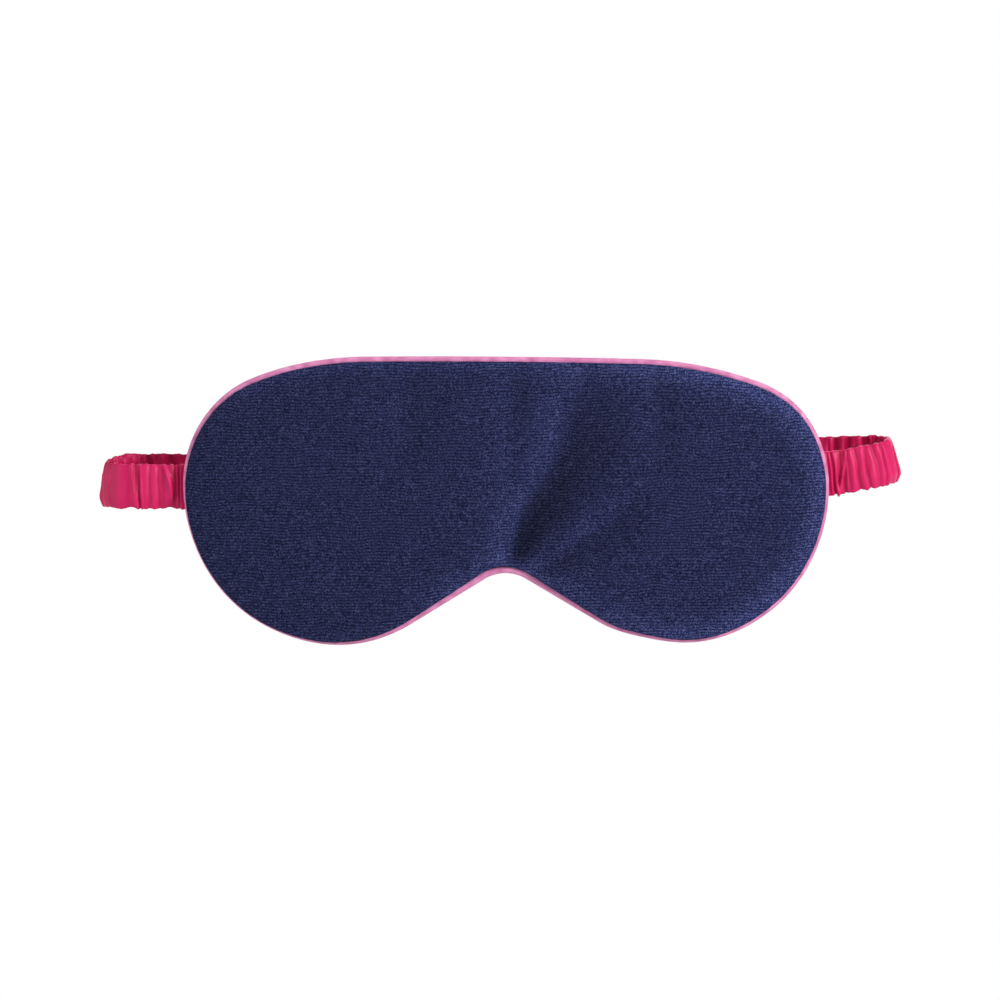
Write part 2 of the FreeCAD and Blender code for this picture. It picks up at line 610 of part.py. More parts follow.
def draw_band(sketch, thickness, thickness_expression, trim):
    """The strap's back stretch in plan: two long arcs about one centre, closed by radial ends."""
    centre = Vector(0, back_centre, 0)
    half = bow - trim / back_radius
    outer = sketch.addGeometry(
        arc_edge(centre, back_radius + thickness / 2, math.pi / 2 - half, math.pi / 2 + half), False
    )
    inner = sketch.addGeometry(
        arc_edge(centre, back_radius - thickness / 2, math.pi / 2 - half, math.pi / 2 + half), False
    )
    ends = []
    for sign, position in ((1, 1), (-1, 2)):
        angle = math.pi / 2 - sign * half
        start = polar(centre, back_radius - thickness / 2, angle)
        end = polar(centre, back_radius + thickness / 2, angle)
        ends.append((sketch.addGeometry(Part.LineSegment(start, end), False), position))
    sketch.addConstraint(Sketcher.Constraint("PointOnObject", outer, 3, -2))
    sketch.addConstraint(Sketcher.Constraint("Coincident", outer, 3, inner, 3))
    for line, position in ends:
        sketch.addConstraint(Sketcher.Constraint("Coincident", line, 1, inner, position))
        sketch.addConstraint(Sketcher.Constraint("Coincident", line, 2, outer, position))
    bind(sketch, Sketcher.Constraint("DistanceY", -1, 1, outer, 3, back_centre), BACK_CENTRE)
    bind(
        sketch,
        Sketcher.Constraint("Radius", outer, back_radius + thickness / 2),
        "%s + %s / 2" % (BACK_RADIUS, thickness_expression),
    )
    bind(
        sketch,
        Sketcher.Constraint("Radius", inner, back_radius - thickness / 2),
        "%s - %s / 2" % (BACK_RADIUS, thickness_expression),
    )
    end_x = (back_radius + thickness / 2) * math.sin(half)
    trim_name = "Sizes.strap_split" if trim > 0 else "0"
    end_expression = "(%s + %s / 2) * sin(Sizes.bow_angle * 1deg - %s / %s * 1rad)" % (
        BACK_RADIUS,
        thickness_expression,
        trim_name,
        BACK_RADIUS,
    )
    inner_end = end_x * (back_radius - thickness / 2) / (back_radius + thickness / 2)
    inner_expression = "(%s - %s / 2) * sin(Sizes.bow_angle * 1deg - %s / %s * 1rad)" % (
        BACK_RADIUS,
        thickness_expression,
        trim_name,
        BACK_RADIUS,
    )
    for arc, value, expression in ((outer, end_x, end_expression), (inner, inner_end, inner_expression)):
        bind(sketch, Sketcher.Constraint("DistanceX", -1, 1, arc, 1, value), expression)
        bind(sketch, Sketcher.Constraint("DistanceX", -1, 1, arc, 2, -value), "-1 * " + expression)


def make_strap_back_cover():
    """The casing's back stretch, with the channel that the elastic lies in."""
    body = make_body("strap_back_cover")
    band = make_sketch(body, "band_plan", "XY_Plane", "Sizes.strap_height")
    draw_band(band, size["strap_thickness"], "Sizes.strap_thickness", size["strap_split"])
    make_pad(body, "band", band, "Sizes.strap_width", midplane=True)
    channel = make_sketch(body, "channel_plan", "XY_Plane", "Sizes.strap_height")
    draw_band(channel, CHANNEL_SIZE[0], CHANNEL[0], 0.0)
    make_pocket(body, "channel", channel, CHANNEL[1], midplane=True)
    return body


def make_strap_back_elastic():
    """The elastic's back stretch."""
    body = make_body("strap_back_elastic")
    band = make_sketch(body, "elastic_plan", "XY_Plane", "Sizes.strap_height")
    draw_band(band, size["elastic_thickness"], "Sizes.elastic_thickness", size["strap_split"])
    make_pad(body, "elastic_band", band, "Sizes.elastic_width", midplane=True)
    return body


def make_strap_tail(label, side):
    """A sewn-in strap end: folded double inside the seam and flat where it passes behind the piping."""
    body = make_body(label)
    sketch = make_sketch(body, label + "_plan", "XY_Plane", "Sizes.strap_height")
    edge = size["mask_width"] / 2
    inner = edge - allowance_inset + size["panel_ease"]
    side_radius = OUTLINE["side"][1]
    reach = size["strap_width"] / 2 + abs(size["strap_height"] - size["side_height"])
    edge_sag = side_radius - math.sqrt(side_radius ** 2 - reach ** 2)
    step = edge - size["piping_diameter"] - size["panel_ease"] - edge_sag
    outer = edge + size["tail_reach"]
    seat = -back_seat
    front = strap_y - size["tail_thickness"] / 2
    back = strap_y + size["tail_thickness"] / 2
    corners = [(inner, seat), (step, seat), (step, front), (outer, front), (outer, back), (inner, back)]
    points = [Vector(side * x, y, 0) for x, y in corners]
    for index in range(6):
        sketch.addGeometry(Part.LineSegment(points[index], points[(index + 1) % 6]), False)
    for index in range(6):
        sketch.addConstraint(Sketcher.Constraint("Coincident", index, 2, (index + 1) % 6, 1))
    for index in range(6):
        kind = "Vertical" if index in (1, 3, 5) else "Horizontal"
        sketch.addConstraint(Sketcher.Constraint(kind, index))
    sign = "" if side > 0 else "-1 * "
    inner_x = "%s(Sizes.mask_width / 2 - %s + Sizes.panel_ease)" % (sign, ALLOWANCE_INSET)
    step_x = "%s(Sizes.mask_width / 2 - %s - %s)" % (sign, PANEL_INSET, EDGE_SAG)
    outer_x = "%s(Sizes.mask_width / 2 + Sizes.tail_reach)" % sign
    bind(sketch, Sketcher.Constraint("DistanceX", -1, 1, 0, 1, side * inner), inner_x)
    bind(sketch, Sketcher.Constraint("DistanceX", -1, 1, 1, 1, side * step), step_x)
    bind(sketch, Sketcher.Constraint("DistanceX", -1, 1, 3, 1, side * outer), outer_x)
    bind(sketch, Sketcher.Constraint("DistanceY", -1, 1, 0, 1, seat), "-1 * " + BACK_SEAT)
    bind(sketch, Sketcher.Constraint("DistanceY", -1, 1, 2, 2, front), STRAP_Y + " - Sizes.tail_thickness / 2")
    bind(sketch, Sketcher.Constraint("DistanceY", -1, 1, 4, 2, back), STRAP_Y + " + Sizes.tail_thickness / 2")
    make_pad(body, label + "_block", sketch, "Sizes.strap_width", midplane=True)
    return body


# ---------------------------------------------------------------- build and write
def build_parts():
    """Makes every sub-part."""
    parts = [
        make_front_panel(),
        make_wadding(),
        make_lining(),
        make_back_panel(),
        make_piping_cover(),
        make_piping_cord(),
        make_edge_seam(),
    ]
    for word, side in (("left", -1), ("right", 1)):
        parts.append(make_strap_tail("strap_tail_" + word, side))
        walls = [(CASING_SIZE, CASING), (CHANNEL_SIZE, CHANNEL)]
        parts.append(make_strap_side("strap_side_cover_" + word, side, walls))
        parts.append(make_strap_side("strap_side_elastic_" + word, side, [(ELASTIC_SIZE, ELASTIC)]))
    parts.append(make_strap_back_cover())
    parts.append(make_strap_back_elastic())
    return parts


def check_document(parts):
    """Stops on any failed object or unusable shape before a file is written."""
    for item in doc.Objects:
        if "Invalid" in item.State or "Error" in item.State:
            raise RuntimeError("%s failed: %s" % (item.Name, item.State))
    for part in parts:
        if part.Shape.isNull() or not part.Shape.isValid() or len(part.Shape.Solids) != 1:
            raise RuntimeError("bad shape in " + part.Label)


def main():
    parts = build_parts()
    doc.recompute()
    check_document(parts)
    os.makedirs("parts", exist_ok=True)
    for part in parts:
        part.Shape.exportStep(os.path.join("parts", part.Label + ".step"))
        box = part.Shape.optimalBoundingBox(False, False)
        print(
            "%-26s %9.1f mm3  x %.2f..%.2f  y %.2f..%.2f  z %.2f..%.2f"
            % (part.Label, part.Shape.Volume, box.XMin, box.XMax, box.YMin, box.YMax, box.ZMin, box.ZMax)
        )


main()
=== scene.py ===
"""Padded sleep mask with a piped edge and a ruched satin strap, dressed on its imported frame.

All lengths are in metres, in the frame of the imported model: the front faces -Y, Z is up and the origin
is the middle of the back face.
"""
from __future__ import annotations

import logging
import math
from dataclasses import dataclass, field
from enum import Enum
from typing import Callable, Iterable, Mapping, Sequence

import bmesh
import bpy
import numpy as np
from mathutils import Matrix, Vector, noise


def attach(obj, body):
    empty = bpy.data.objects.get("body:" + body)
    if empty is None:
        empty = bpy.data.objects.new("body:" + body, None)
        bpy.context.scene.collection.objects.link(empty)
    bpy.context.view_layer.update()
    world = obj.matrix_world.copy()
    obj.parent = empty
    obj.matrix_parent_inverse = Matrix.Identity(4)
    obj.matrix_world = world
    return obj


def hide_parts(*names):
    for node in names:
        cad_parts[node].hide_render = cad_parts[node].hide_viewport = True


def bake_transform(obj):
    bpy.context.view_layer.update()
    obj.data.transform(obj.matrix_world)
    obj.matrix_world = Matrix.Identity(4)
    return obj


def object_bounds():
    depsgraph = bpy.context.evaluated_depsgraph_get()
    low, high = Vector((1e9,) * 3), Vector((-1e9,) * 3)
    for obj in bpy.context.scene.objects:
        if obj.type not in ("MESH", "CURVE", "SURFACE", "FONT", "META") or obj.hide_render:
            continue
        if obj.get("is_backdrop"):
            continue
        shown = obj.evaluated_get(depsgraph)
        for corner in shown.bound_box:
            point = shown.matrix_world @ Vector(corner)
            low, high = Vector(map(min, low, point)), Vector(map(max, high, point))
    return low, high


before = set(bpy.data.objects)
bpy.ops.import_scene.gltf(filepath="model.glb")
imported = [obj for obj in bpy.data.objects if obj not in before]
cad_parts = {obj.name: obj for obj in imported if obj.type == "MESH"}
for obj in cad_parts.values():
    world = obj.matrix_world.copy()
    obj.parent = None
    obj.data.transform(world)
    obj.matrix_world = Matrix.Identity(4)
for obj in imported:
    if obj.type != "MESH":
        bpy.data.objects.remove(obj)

LOG = logging.getLogger("sleep_mask")
MM = 0.001
WELD = 2e-6
WHITE = (1.0, 1.0, 1.0, 1.0)
PAPER = (0.8, 0.8, 0.8, 1.0)


class Side(Enum):
    """A side of the mask, as a sign on X."""

    LEFT = -1
    RIGHT = 1


class Slot(Enum):
    """Names of the record's material slots for the new pieces."""

    VELOUR = "navy_velour"
    WADDING = "white_wadding"
    BACK = "satin_back"
    PIPING = "pink_satin"
    CORD = "cotton_cord"
    STRAP = "strap_satin"
    ELASTIC = "elastic"


# ------------------------------------------------------------------ small helpers
def linear(code: str) -> tuple[float, float, float, float]:
    """Turns an sRGB hex colour into linear light.

    Args:
        code: colour such as "#26294A".

    Returns:
        Linear red, green, blue and an alpha of one.
    """
    parts = [int(code[index : index + 2], 16) / 255 for index in (1, 3, 5)]
    values = [part / 12.92 if part <= 0.04045 else ((part + 0.055) / 1.055) ** 2.4 for part in parts]
    return values[0], values[1], values[2], 1.0


def smooth(low: float, high: float, value: np.ndarray) -> np.ndarray:
    """Smooth step of value from 0 at low to 1 at high."""
    ratio = np.clip((np.asarray(value, float) - low) / (high - low), 0.0, 1.0)
    return ratio * ratio * (3 - 2 * ratio)


def ripple(points: np.ndarray, size: float, seed: float) -> np.ndarray:
    """Smooth noise over points.

    Args:
        points: N by 3 array of places in metres.
        size: length of one blotch in metres.
        seed: moves the pattern.

    Returns:
        One value from about -1 to 1 for each point.
    """
    shift = np.array([seed, seed * 0.37, -seed * 0.71])
    return waver(points / size + shift)


def waver(points: np.ndarray) -> np.ndarray:
    """Smooth noise of unit size, from about -1 to 1, at each of N by 3 points."""
    return np.array([noise.noise(point) for point in points.tolist()])


def empty_tree(owner: bpy.types.Material | bpy.types.World) -> bpy.types.NodeTree:
    """Gives a material or a world an empty node tree.

    Args:
        owner: the material or the world.

    Returns:
        Its tree.
    """
    owner.use_nodes = True
    owner.node_tree.nodes.clear()
    return owner.node_tree


def add_node(
    tree: bpy.types.NodeTree,
    kind: str,
    settings: Mapping[str, object] | None = None,
    values: Mapping[object, object] | None = None,
    links: Mapping[object, bpy.types.NodeSocket] | None = None,
) -> bpy.types.Node:
    """Adds one node with its settings, socket values and links.

    Args:
        tree: the node tree.
        kind: the node's class name.
        settings: attributes of the node.
        values: defaults of its inputs.
        links: sockets that feed its inputs.

    Returns:
        The new node.
    """
    made = tree.nodes.new(kind)
    for name, value in (settings or {}).items():
        setattr(made, name, value)
    for socket, value in (values or {}).items():
        made.inputs[socket].default_value = value
    for socket, source in (links or {}).items():
        tree.links.new(source, made.inputs[socket])
    return made


def grid_piece(
    name: str,
    across: int,
    around: int,
    place: Callable[[np.ndarray, np.ndarray], np.ndarray],
) -> bpy.types.Object:
    """Makes a piece from one grid, rolled or folded into its shape and joined where its edges meet.

    Args:
        name: name of the piece.
        across: segments along u.
        around: segments along v.
        place: gives the place of each vertex from its u and v, both 0 to 1.

    Returns:
        The new object, with a UV map that holds u and v.
    """
    body = bmesh.new()
    bmesh.ops.create_grid(body, x_segments=across, y_segments=around, size=1.0)
    body.verts.ensure_lookup_table()
    flat = np.array([vertex.co[:] for vertex in body.verts])
    u, v = (flat[:, 0] + 1) / 2, (flat[:, 1] + 1) / 2
    layer = body.loops.layers.uv.new("Cloth")
    for face in body.faces:
        for loop in face.loops:
            loop[layer].uv = (u[loop.vert.index], v[loop.vert.index])
    for vertex, point in zip(body.verts, place(u, v)):
        vertex.co = point
    bmesh.ops.remove_doubles(body, verts=body.verts, dist=WELD)
    bmesh.ops.recalc_face_normals(body, faces=body.faces)
    mesh = bpy.data.meshes.new(name)
    body.to_mesh(mesh)
    body.free()
    mesh.shade_smooth()
    return placed(name, mesh)


def placed(name: str, data: bpy.types.ID) -> bpy.types.Object:
    """Links a new object with its data into the scene.

    Args:
        name: the object's name.
        data: its mesh, lamp or camera.

    Returns:
        The new object.
    """
    made = bpy.data.objects.new(name, data)
    bpy.context.scene.collection.objects.link(made)
    return made


def vertex_values(mesh: bpy.types.Mesh, kind: str = "co") -> np.ndarray:
    """Places or normals of all the vertices as an N by 3 array.

    Args:
        mesh: the mesh.
        kind: "co" for places or "normal" for normals.

    Returns:
        The array.
    """
    flat = np.empty(len(mesh.vertices) * 3)
    mesh.vertices.foreach_get(kind, flat)
    return flat.reshape(-1, 3)


def set_coordinates(mesh: bpy.types.Mesh, places: np.ndarray) -> None:
    """Writes vertex places back to a mesh."""
    mesh.vertices.foreach_set("co", places.reshape(-1))
    mesh.update()


def store(mesh: bpy.types.Mesh, name: str, values: np.ndarray, domain: str = "POINT") -> None:
    """Keeps one value for each point or corner of a mesh as an attribute."""
    kept = mesh.attributes.new(name, "FLOAT", domain)
    kept.data.foreach_set("value", values.astype(np.float32))


def bell(*terms: tuple[np.ndarray, float, float]) -> np.ndarray:
    """Product of bell curves.

    Args:
        terms: for each curve its values, its middle and its reach.

    Returns:
        One at the middle, falling off all round.
    """
    return np.exp(-sum(((values - middle) / reach) ** 2 for values, middle, reach in terms))


def dress(piece: bpy.types.Object, material: bpy.types.Material) -> None:
    """Gives a piece its one material.

    Args:
        piece: the piece.
        material: its finish.
    """
    piece.data.materials.clear()
    piece.data.materials.append(material)


def sew_in(piece: bpy.types.Object, material: bpy.types.Material, node_name: str) -> None:
    """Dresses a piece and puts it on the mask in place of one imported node.

    Args:
        piece: the piece.
        material: its finish.
        node_name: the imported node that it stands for.
    """
    dress(piece, material)
    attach(piece, "mask")
    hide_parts(node_name)
    LOG.info("made %s", piece.name)


# ------------------------------------------------------------------ the outline
@dataclass(frozen=True)
class MaskOutline:
    """The piped edge of the mask: a chain of tangent arcs, mirrored about the nose."""

    width: float = 211.0 * MM
    height: float = 93.8 * MM
    top_radius: float = 2500.0 * MM
    shoulder_radius: float = 105.0 * MM
    shoulder_drop: float = 5.2 * MM
    side_height: float = 5.0 * MM
    cheek_ease: float = 3.2 * MM
    lobe_place: float = 0.2573
    lobe_size: float = 0.2171
    notch_rise: float = 22.9 * MM
    notch_radius: float = 12.8 * MM

    @staticmethod
    def crossing(a: np.ndarray, radius_a: float, b: np.ndarray, radius_b: float) -> list[np.ndarray]:
        """Both points where two circles cross, the one to the left of a-to-b first.

        Args:
            a: centre of the first circle.
            radius_a: its radius.
            b: centre of the second circle.
            radius_b: its radius.

        Returns:
            The two points.
        """
        span = b - a
        reach = float(np.hypot(*span))
        along = (radius_a**2 - radius_b**2 + reach**2) / (2 * reach)
        height = math.sqrt(radius_a**2 - along**2)
        unit = span / reach
        left = np.array([-unit[1], unit[0]])
        return [a + unit * along + left * height, a + unit * along - left * height]

    def dense(self) -> np.ndarray:
        """Close points of the whole edge in X and Z, counter-clockwise seen from the front.

        Returns:
            N by 2 array of points, without the first one again at its end.
        """
        half = self.height / 2
        side_r = half - self.side_height - self.shoulder_drop
        side = np.array([self.width / 2 - side_r, self.side_height])
        lobe_r = self.width * self.lobe_size
        lobe = np.array([self.width * self.lobe_place, lobe_r - half])
        top = np.array([0.0, half - self.top_radius])
        notch = np.array([0.0, self.notch_rise - half - self.notch_radius])
        cheek_r = (float(np.hypot(*(side - lobe))) + side_r + lobe_r) / 2 + self.cheek_ease
        cheek = self.crossing(lobe, cheek_r - lobe_r, side, cheek_r - side_r)[0]
        shoulder_r = self.shoulder_radius
        shoulder = min(
            self.crossing(top, self.top_radius - shoulder_r, side, shoulder_r - side_r),
            key=lambda point: point[0],
        )

        def bearing(centre: np.ndarray, point: np.ndarray) -> float:
            """Direction from a centre to a point, in radians."""
            return math.atan2(point[1] - centre[1], point[0] - centre[0])

        run = lobe - notch
        lean = math.acos((self.notch_radius + lobe_r) / float(np.hypot(*run)))
        flank = bearing(np.zeros(2), run) + lean
        arcs = [
            (notch, self.notch_radius, math.pi / 2, flank),
            (lobe, lobe_r, flank - math.pi, bearing(cheek, lobe)),
            (cheek, cheek_r, bearing(cheek, lobe), bearing(cheek, side)),
            (side, side_r, bearing(cheek, side), bearing(shoulder, side)),
            (shoulder, shoulder_r, bearing(shoulder, side), bearing(top, shoulder)),
            (top, self.top_radius, bearing(top, shoulder), math.pi / 2),
        ]
        parts = []
        for centre, radius, start, end in arcs:
            angles = np.linspace(start, end, max(24, int(abs(end - start) * radius / (0.5 * MM))))
            parts.append(centre + radius * np.column_stack([np.cos(angles), np.sin(angles)]))
        right = np.vstack(parts)
        left = right[::-1] * np.array([-1.0, 1.0])
        return np.vstack([right, left[1:-1]])


@dataclass
class SewnEdge:
    """The sewn edge as it lies: the pattern's outline with the small unevenness of hand-fed cloth."""

    outline: MaskOutline = field(default_factory=MaskOutline)
    points: np.ndarray = field(init=False)
    normals: np.ndarray = field(init=False)
    count: int = 720

    def __post_init__(self) -> None:
        """Samples the edge evenly, over the top from the right end to the left and back below."""
        line = self.settle(self.outline.dense())
        right, left = int(np.argmax(line[:, 0])), int(np.argmin(line[:, 0]))
        order = np.roll(line, -right, axis=0)
        turn = (left - right) % len(line)
        upper = order[: turn + 1]
        lower = np.vstack([order[turn:], order[:1]])
        half = self.count // 2
        self.points = np.vstack([self.even(upper, half), self.even(lower, half)])
        ahead = np.roll(self.points, -1, axis=0) - np.roll(self.points, 1, axis=0)
        ahead /= np.hypot(ahead[:, 0], ahead[:, 1])[:, None]
        self.normals = np.column_stack([-ahead[:, 1], ahead[:, 0]])

    @staticmethod
    def settle(line: np.ndarray) -> np.ndarray:
        """Pulls the outline softly out of its mirror symmetry.

        Args:
            line: points of the outline in X and Z.

        Returns:
            The points where the cloth really lies.
        """
        pulls = (
            # place, reach and pull, in mm
            ((88.0, -31.0), 26.0, (1.2, -0.9)),
            ((68.0, -45.0), 16.0, (0.2, -0.6)),
            ((46.0, -46.0), 12.0, (0.0, 0.9)),
            ((104.0, -4.0), 22.0, (0.4, 0.0)),
            ((64.0, 46.0), 24.0, (0.0, -0.4)),
            ((-84.0, -34.0), 28.0, (-0.7, -0.7)),
            ((-52.0, -48.0), 24.0, (0.0, -0.7)),
            ((-78.0, 36.0), 26.0, (-0.7, 0.7)),
            ((94.0, 28.0), 14.0, (0.5, 0.3)),
            ((-40.0, 47.0), 40.0, (0.0, 0.5)),
        )
        moved = line.copy()
        for place, reach, pull in pulls:
            away = np.hypot(*((line - np.array(place) * MM).T))
            moved += bell((away, 0, reach * MM))[:, None] * np.array(pull) * MM
        return moved

    @staticmethod
    def even(line: np.ndarray, count: int) -> np.ndarray:
        """Count points at equal steps along a line, without its last point.

        Args:
            line: points of the line.
            count: how many points are wanted.

        Returns:
            The points.
        """
        steps = np.hypot(*np.diff(line, axis=0).T)
        length = np.concatenate([[0.0], np.cumsum(steps)])
        stations = np.linspace(0.0, length[-1], count, endpoint=False)
        return np.column_stack([np.interp(stations, length, line[:, axis]) for axis in (0, 1)])

    def at(self, u: np.ndarray) -> tuple[np.ndarray, np.ndarray]:
        """Points and inward normals at u, which runs once round from 0 to 1.

        Args:
            u: where on the edge.

        Returns:
            Points and normals in X and Z.
        """
        where = (np.asarray(u) % 1.0) * self.count
        low = np.floor(where).astype(int) % self.count
        high = (low + 1) % self.count
        part = (where - np.floor(where))[:, None]
        points = self.points[low] * (1 - part) + self.points[high] * part
        normals = self.normals[low] * (1 - part) + self.normals[high] * part
        return points, normals

    def inside(self, places: np.ndarray) -> np.ndarray:
        """Distance of X, Z places from the edge.

        Args:
            places: N by 2 array of places.

        Returns:
            One distance for each.
        """
        best = np.full(len(places), np.inf)
        start, end = self.points, np.roll(self.points, -1, axis=0)
        for a, b in zip(start, end):
            run = b - a
            part = np.clip(((places - a) @ run) / (run @ run), 0.0, 1.0)
            best = np.minimum(best, np.hypot(*(places - a - part[:, None] * run).T))
        return best


# ------------------------------------------------------------------ finishes
class ClothTree:
    """Node tree of one cloth, laid out in the object's own coordinates."""

    def __init__(self, name: str) -> None:
        """Starts an empty material.

        Args:
            name: the material's name.
        """
        self.material = bpy.data.materials.new(name)
        self.tree = empty_tree(self.material)
        self.coords = add_node(self.tree, "ShaderNodeTexCoord").outputs["Object"]

    def mottle(
        self,
        size: float,
        detail: float,
        roughness: float = 0.5,
        vector: bpy.types.NodeSocket | None = None,
    ) -> bpy.types.NodeSocket:
        """Noise with blotches of a size in metres, or of any vector.

        Args:
            size: length of one blotch.
            detail: octaves of finer noise.
            roughness: weight of the finer noise.
            vector: what it is laid out over, the object's coordinates if left out.

        Returns:
            The noise's strength.
        """
        values = {"Scale": 1 / size, "Detail": detail, "Roughness": roughness}
        links = {"Vector": self.coords if vector is None else vector}
        return add_node(self.tree, "ShaderNodeTexNoise", values=values, links=links).outputs["Fac"]

    def calculate(self, operation: str, *terms: bpy.types.NodeSocket | float) -> bpy.types.NodeSocket:
        """One math node over sockets and plain numbers.

        Args:
            operation: the node's operation.
            terms: its inputs in order.

        Returns:
            The result.
        """
        numbers = {index: term for index, term in enumerate(terms) if isinstance(term, float)}
        sockets = {index: term for index, term in enumerate(terms) if index not in numbers}
        node = add_node(self.tree, "ShaderNodeMath", {"operation": operation}, numbers, sockets)
        return node.outputs["Value"]

    def spread(self, value: bpy.types.NodeSocket, low: float, high: float) -> bpy.types.NodeSocket:
        """Smooth step of a value from 0 at low to 1 at high."""
        return add_node(
            self.tree,
            "ShaderNodeMapRange",
            {"interpolation_type": "SMOOTHSTEP"},
            {"From Min": low, "From Max": high},
            {"Value": value},
        ).outputs["Result"]

    def stored(self, name: str) -> bpy.types.NodeSocket:
        """An attribute of the mesh."""
        return add_node(self.tree, "ShaderNodeAttribute", {"attribute_name": name}).outputs["Fac"]

    def colours(self, value: bpy.types.NodeSocket, stops: Mapping[float, str]) -> bpy.types.NodeSocket:
        """Colours along a value.

        Args:
            value: where on the ramp.
            stops: sRGB hex colours by their positions, in order.

        Returns:
            The colour.
        """
        node = add_node(self.tree, "ShaderNodeValToRGB", links={"Fac": value})
        elements = node.color_ramp.elements
        elements[0].position, elements[-1].position = min(stops), max(stops)
        for position in sorted(stops)[1:-1]:
            elements.new(position)
        for element, position in zip(elements, sorted(stops)):
            element.color = linear(stops[position])
        return node.outputs["Color"]

    def surface(
        self,
        colour: bpy.types.NodeSocket,
        relief: bpy.types.NodeSocket,
        strength: float,
        depth: float,
        look: Mapping[str, object],
    ) -> bpy.types.Material:
        """Closes the tree with its relief and its shader.

        Args:
            colour: the cloth's colour.
            relief: height of its threads.
            strength: share of the relief.
            depth: the relief's depth in metres.
            look: values of the shader.

        Returns:
            The finished material.
        """
        values = {"Strength": strength, "Distance": depth}
        bump = add_node(self.tree, "ShaderNodeBump", values=values, links={"Height": relief})
        links = {"Base Color": colour, "Normal": bump.outputs["Normal"]}
        shader = add_node(self.tree, "ShaderNodeBsdfPrincipled", values=look, links=links)
        add_node(self.tree, "ShaderNodeOutputMaterial", links={"Surface": shader.outputs["BSDF"]})
        return self.material


@dataclass(frozen=True)
class VelourFinish:
    """Cut-pile cotton velour, knitted in courses about a millimetre apart.

    It gives the eye a deep matt navy with short broken dashes between the courses, pale pile specks and
    a paler bloom where the pile is seen from its side, from its sheen. Painted light and shade stored on
    the mesh makes it paler on crease flanks and rims that face the key lamp and darker on flanks that
    face away.
    """

    gap: str = "#060918"
    body: str = "#181D3F"
    tips: str = "#454A72"
    bloom: str = "#8E96D0"
    course_pitch: float = 1.0 * MM
    course_wander: float = 3.0
    dash_length: float = 1.5 * MM
    dash_shift: float = 7.31
    dash_depth: float = 0.19
    speck_size: float = 0.5 * MM
    wander_size: float = 14.0 * MM
    relief: float = 0.2 * MM

    def build(self) -> bpy.types.Material:
        """Builds the node material.

        Returns:
            The material.
        """
        cloth = ClothTree("cotton_velour_navy")
        place = add_node(cloth.tree, "ShaderNodeSeparateXYZ", links={"Vector": cloth.coords})
        wander = cloth.mottle(self.wander_size, 1.0)
        course = cloth.calculate("MULTIPLY", place.outputs["Z"], 1 / self.course_pitch)
        course = cloth.calculate("MULTIPLY_ADD", wander, self.course_wander, course)
        number = cloth.calculate("FLOOR", course)
        groove = cloth.spread(cloth.calculate("PINGPONG", course, 0.5), 0.30, 0.02)
        along = cloth.calculate("MULTIPLY", place.outputs["X"], 1 / self.dash_length)
        stagger = cloth.calculate("MULTIPLY", number, self.dash_shift)
        strand = add_node(cloth.tree, "ShaderNodeCombineXYZ", links={"X": along, "Y": stagger})
        dash = cloth.spread(cloth.mottle(1.0, 2.0, 0.6, strand.outputs["Vector"]), 0.30, 0.62)
        cut = cloth.calculate("MULTIPLY", groove, dash)
        specks = cloth.mottle(self.speck_size, 2.0, 0.9)
        pile = cloth.calculate("MULTIPLY_ADD", cut, -self.dash_depth, specks)
        colour = cloth.colours(pile, {0.28: self.gap, 0.46: self.body, 0.65: self.tips})
        # Painted light and shade: the stored attribute scales the colour's brightness from 0.45 to 1.65
        # times.
        painted_light_level = add_node(
            cloth.tree,
            "ShaderNodeMapRange",
            {"clamp": False},
            {"To Min": 0.45, "To Max": 1.65},
            {"Value": cloth.stored("painted_shade")},
        )
        links = {"Color": colour, "Value": painted_light_level.outputs["Result"]}
        shade = add_node(cloth.tree, "ShaderNodeHueSaturation", links=links)
        look = {
            "Roughness": 0.95,
            "Specular IOR Level": 0.12,
            "Sheen Weight": 0.08,
            "Sheen Roughness": 0.3,
            "Sheen Tint": linear(self.bloom),
        }
        return cloth.surface(shade.outputs["Color"], pile, 0.6, self.relief, look)


@dataclass(frozen=True)
class SatinFinish:
    """Polyester satin, a warp-faced weave: streaks of shine along its folds from its gloss, and painted
    shade that deepens its colour in fold valleys and pales it on ridges.
    """

    name: str
    deep: str
    pale: str
    roughness: float
    thread_pitch: float = 0.3 * MM
    crease_size: float = 3.0 * MM
    relief: float = 0.06 * MM

    def build(self) -> bpy.types.Material:
        """Builds the node material.

        Returns:
            The material.
        """
        cloth = ClothTree(self.name)
        creases = cloth.mottle(self.crease_size, 2.0)
        # Painted shade: the stored fold value, with random blotches, runs the colour from deep in fold
        # valleys to pale on ridges.
        depth = cloth.calculate("MULTIPLY_ADD", creases, 0.3, cloth.stored("fold"))
        colour = cloth.colours(depth, {0.1: self.deep, 0.95: self.pale})
        look = {
            "Roughness": self.roughness,
            "Specular IOR Level": 0.22,
            "Sheen Weight": 0.08,
            "Sheen Roughness": 0.35,
            "Sheen Tint": linear(self.pale),
        }
        return cloth.surface(colour, cloth.mottle(self.thread_pitch, 2.0, 0.6), 0.15, self.relief, look)


@dataclass(frozen=True)
class PlainClothFinish:
    """Plain spun or woven filling cloth: it gives the eye a matt surface with a fine fibrous mottle."""

    name: str
    deep: str
    pale: str
    fibre: float = 0.6 * MM
    relief: float = 0.15 * MM

    def build(self) -> bpy.types.Material:
        """Builds the node material.

        Returns:
            The material.
        """
        cloth = ClothTree(self.name)
        fibres = cloth.mottle(self.fibre, 4.0, 0.6)
        colour = cloth.colours(fibres, {0.3: self.deep, 0.7: self.pale})
        look = {"Roughness": 0.9, "Specular IOR Level": 0.2}
        return cloth.surface(colour, fibres, 0.4, self.relief, look)


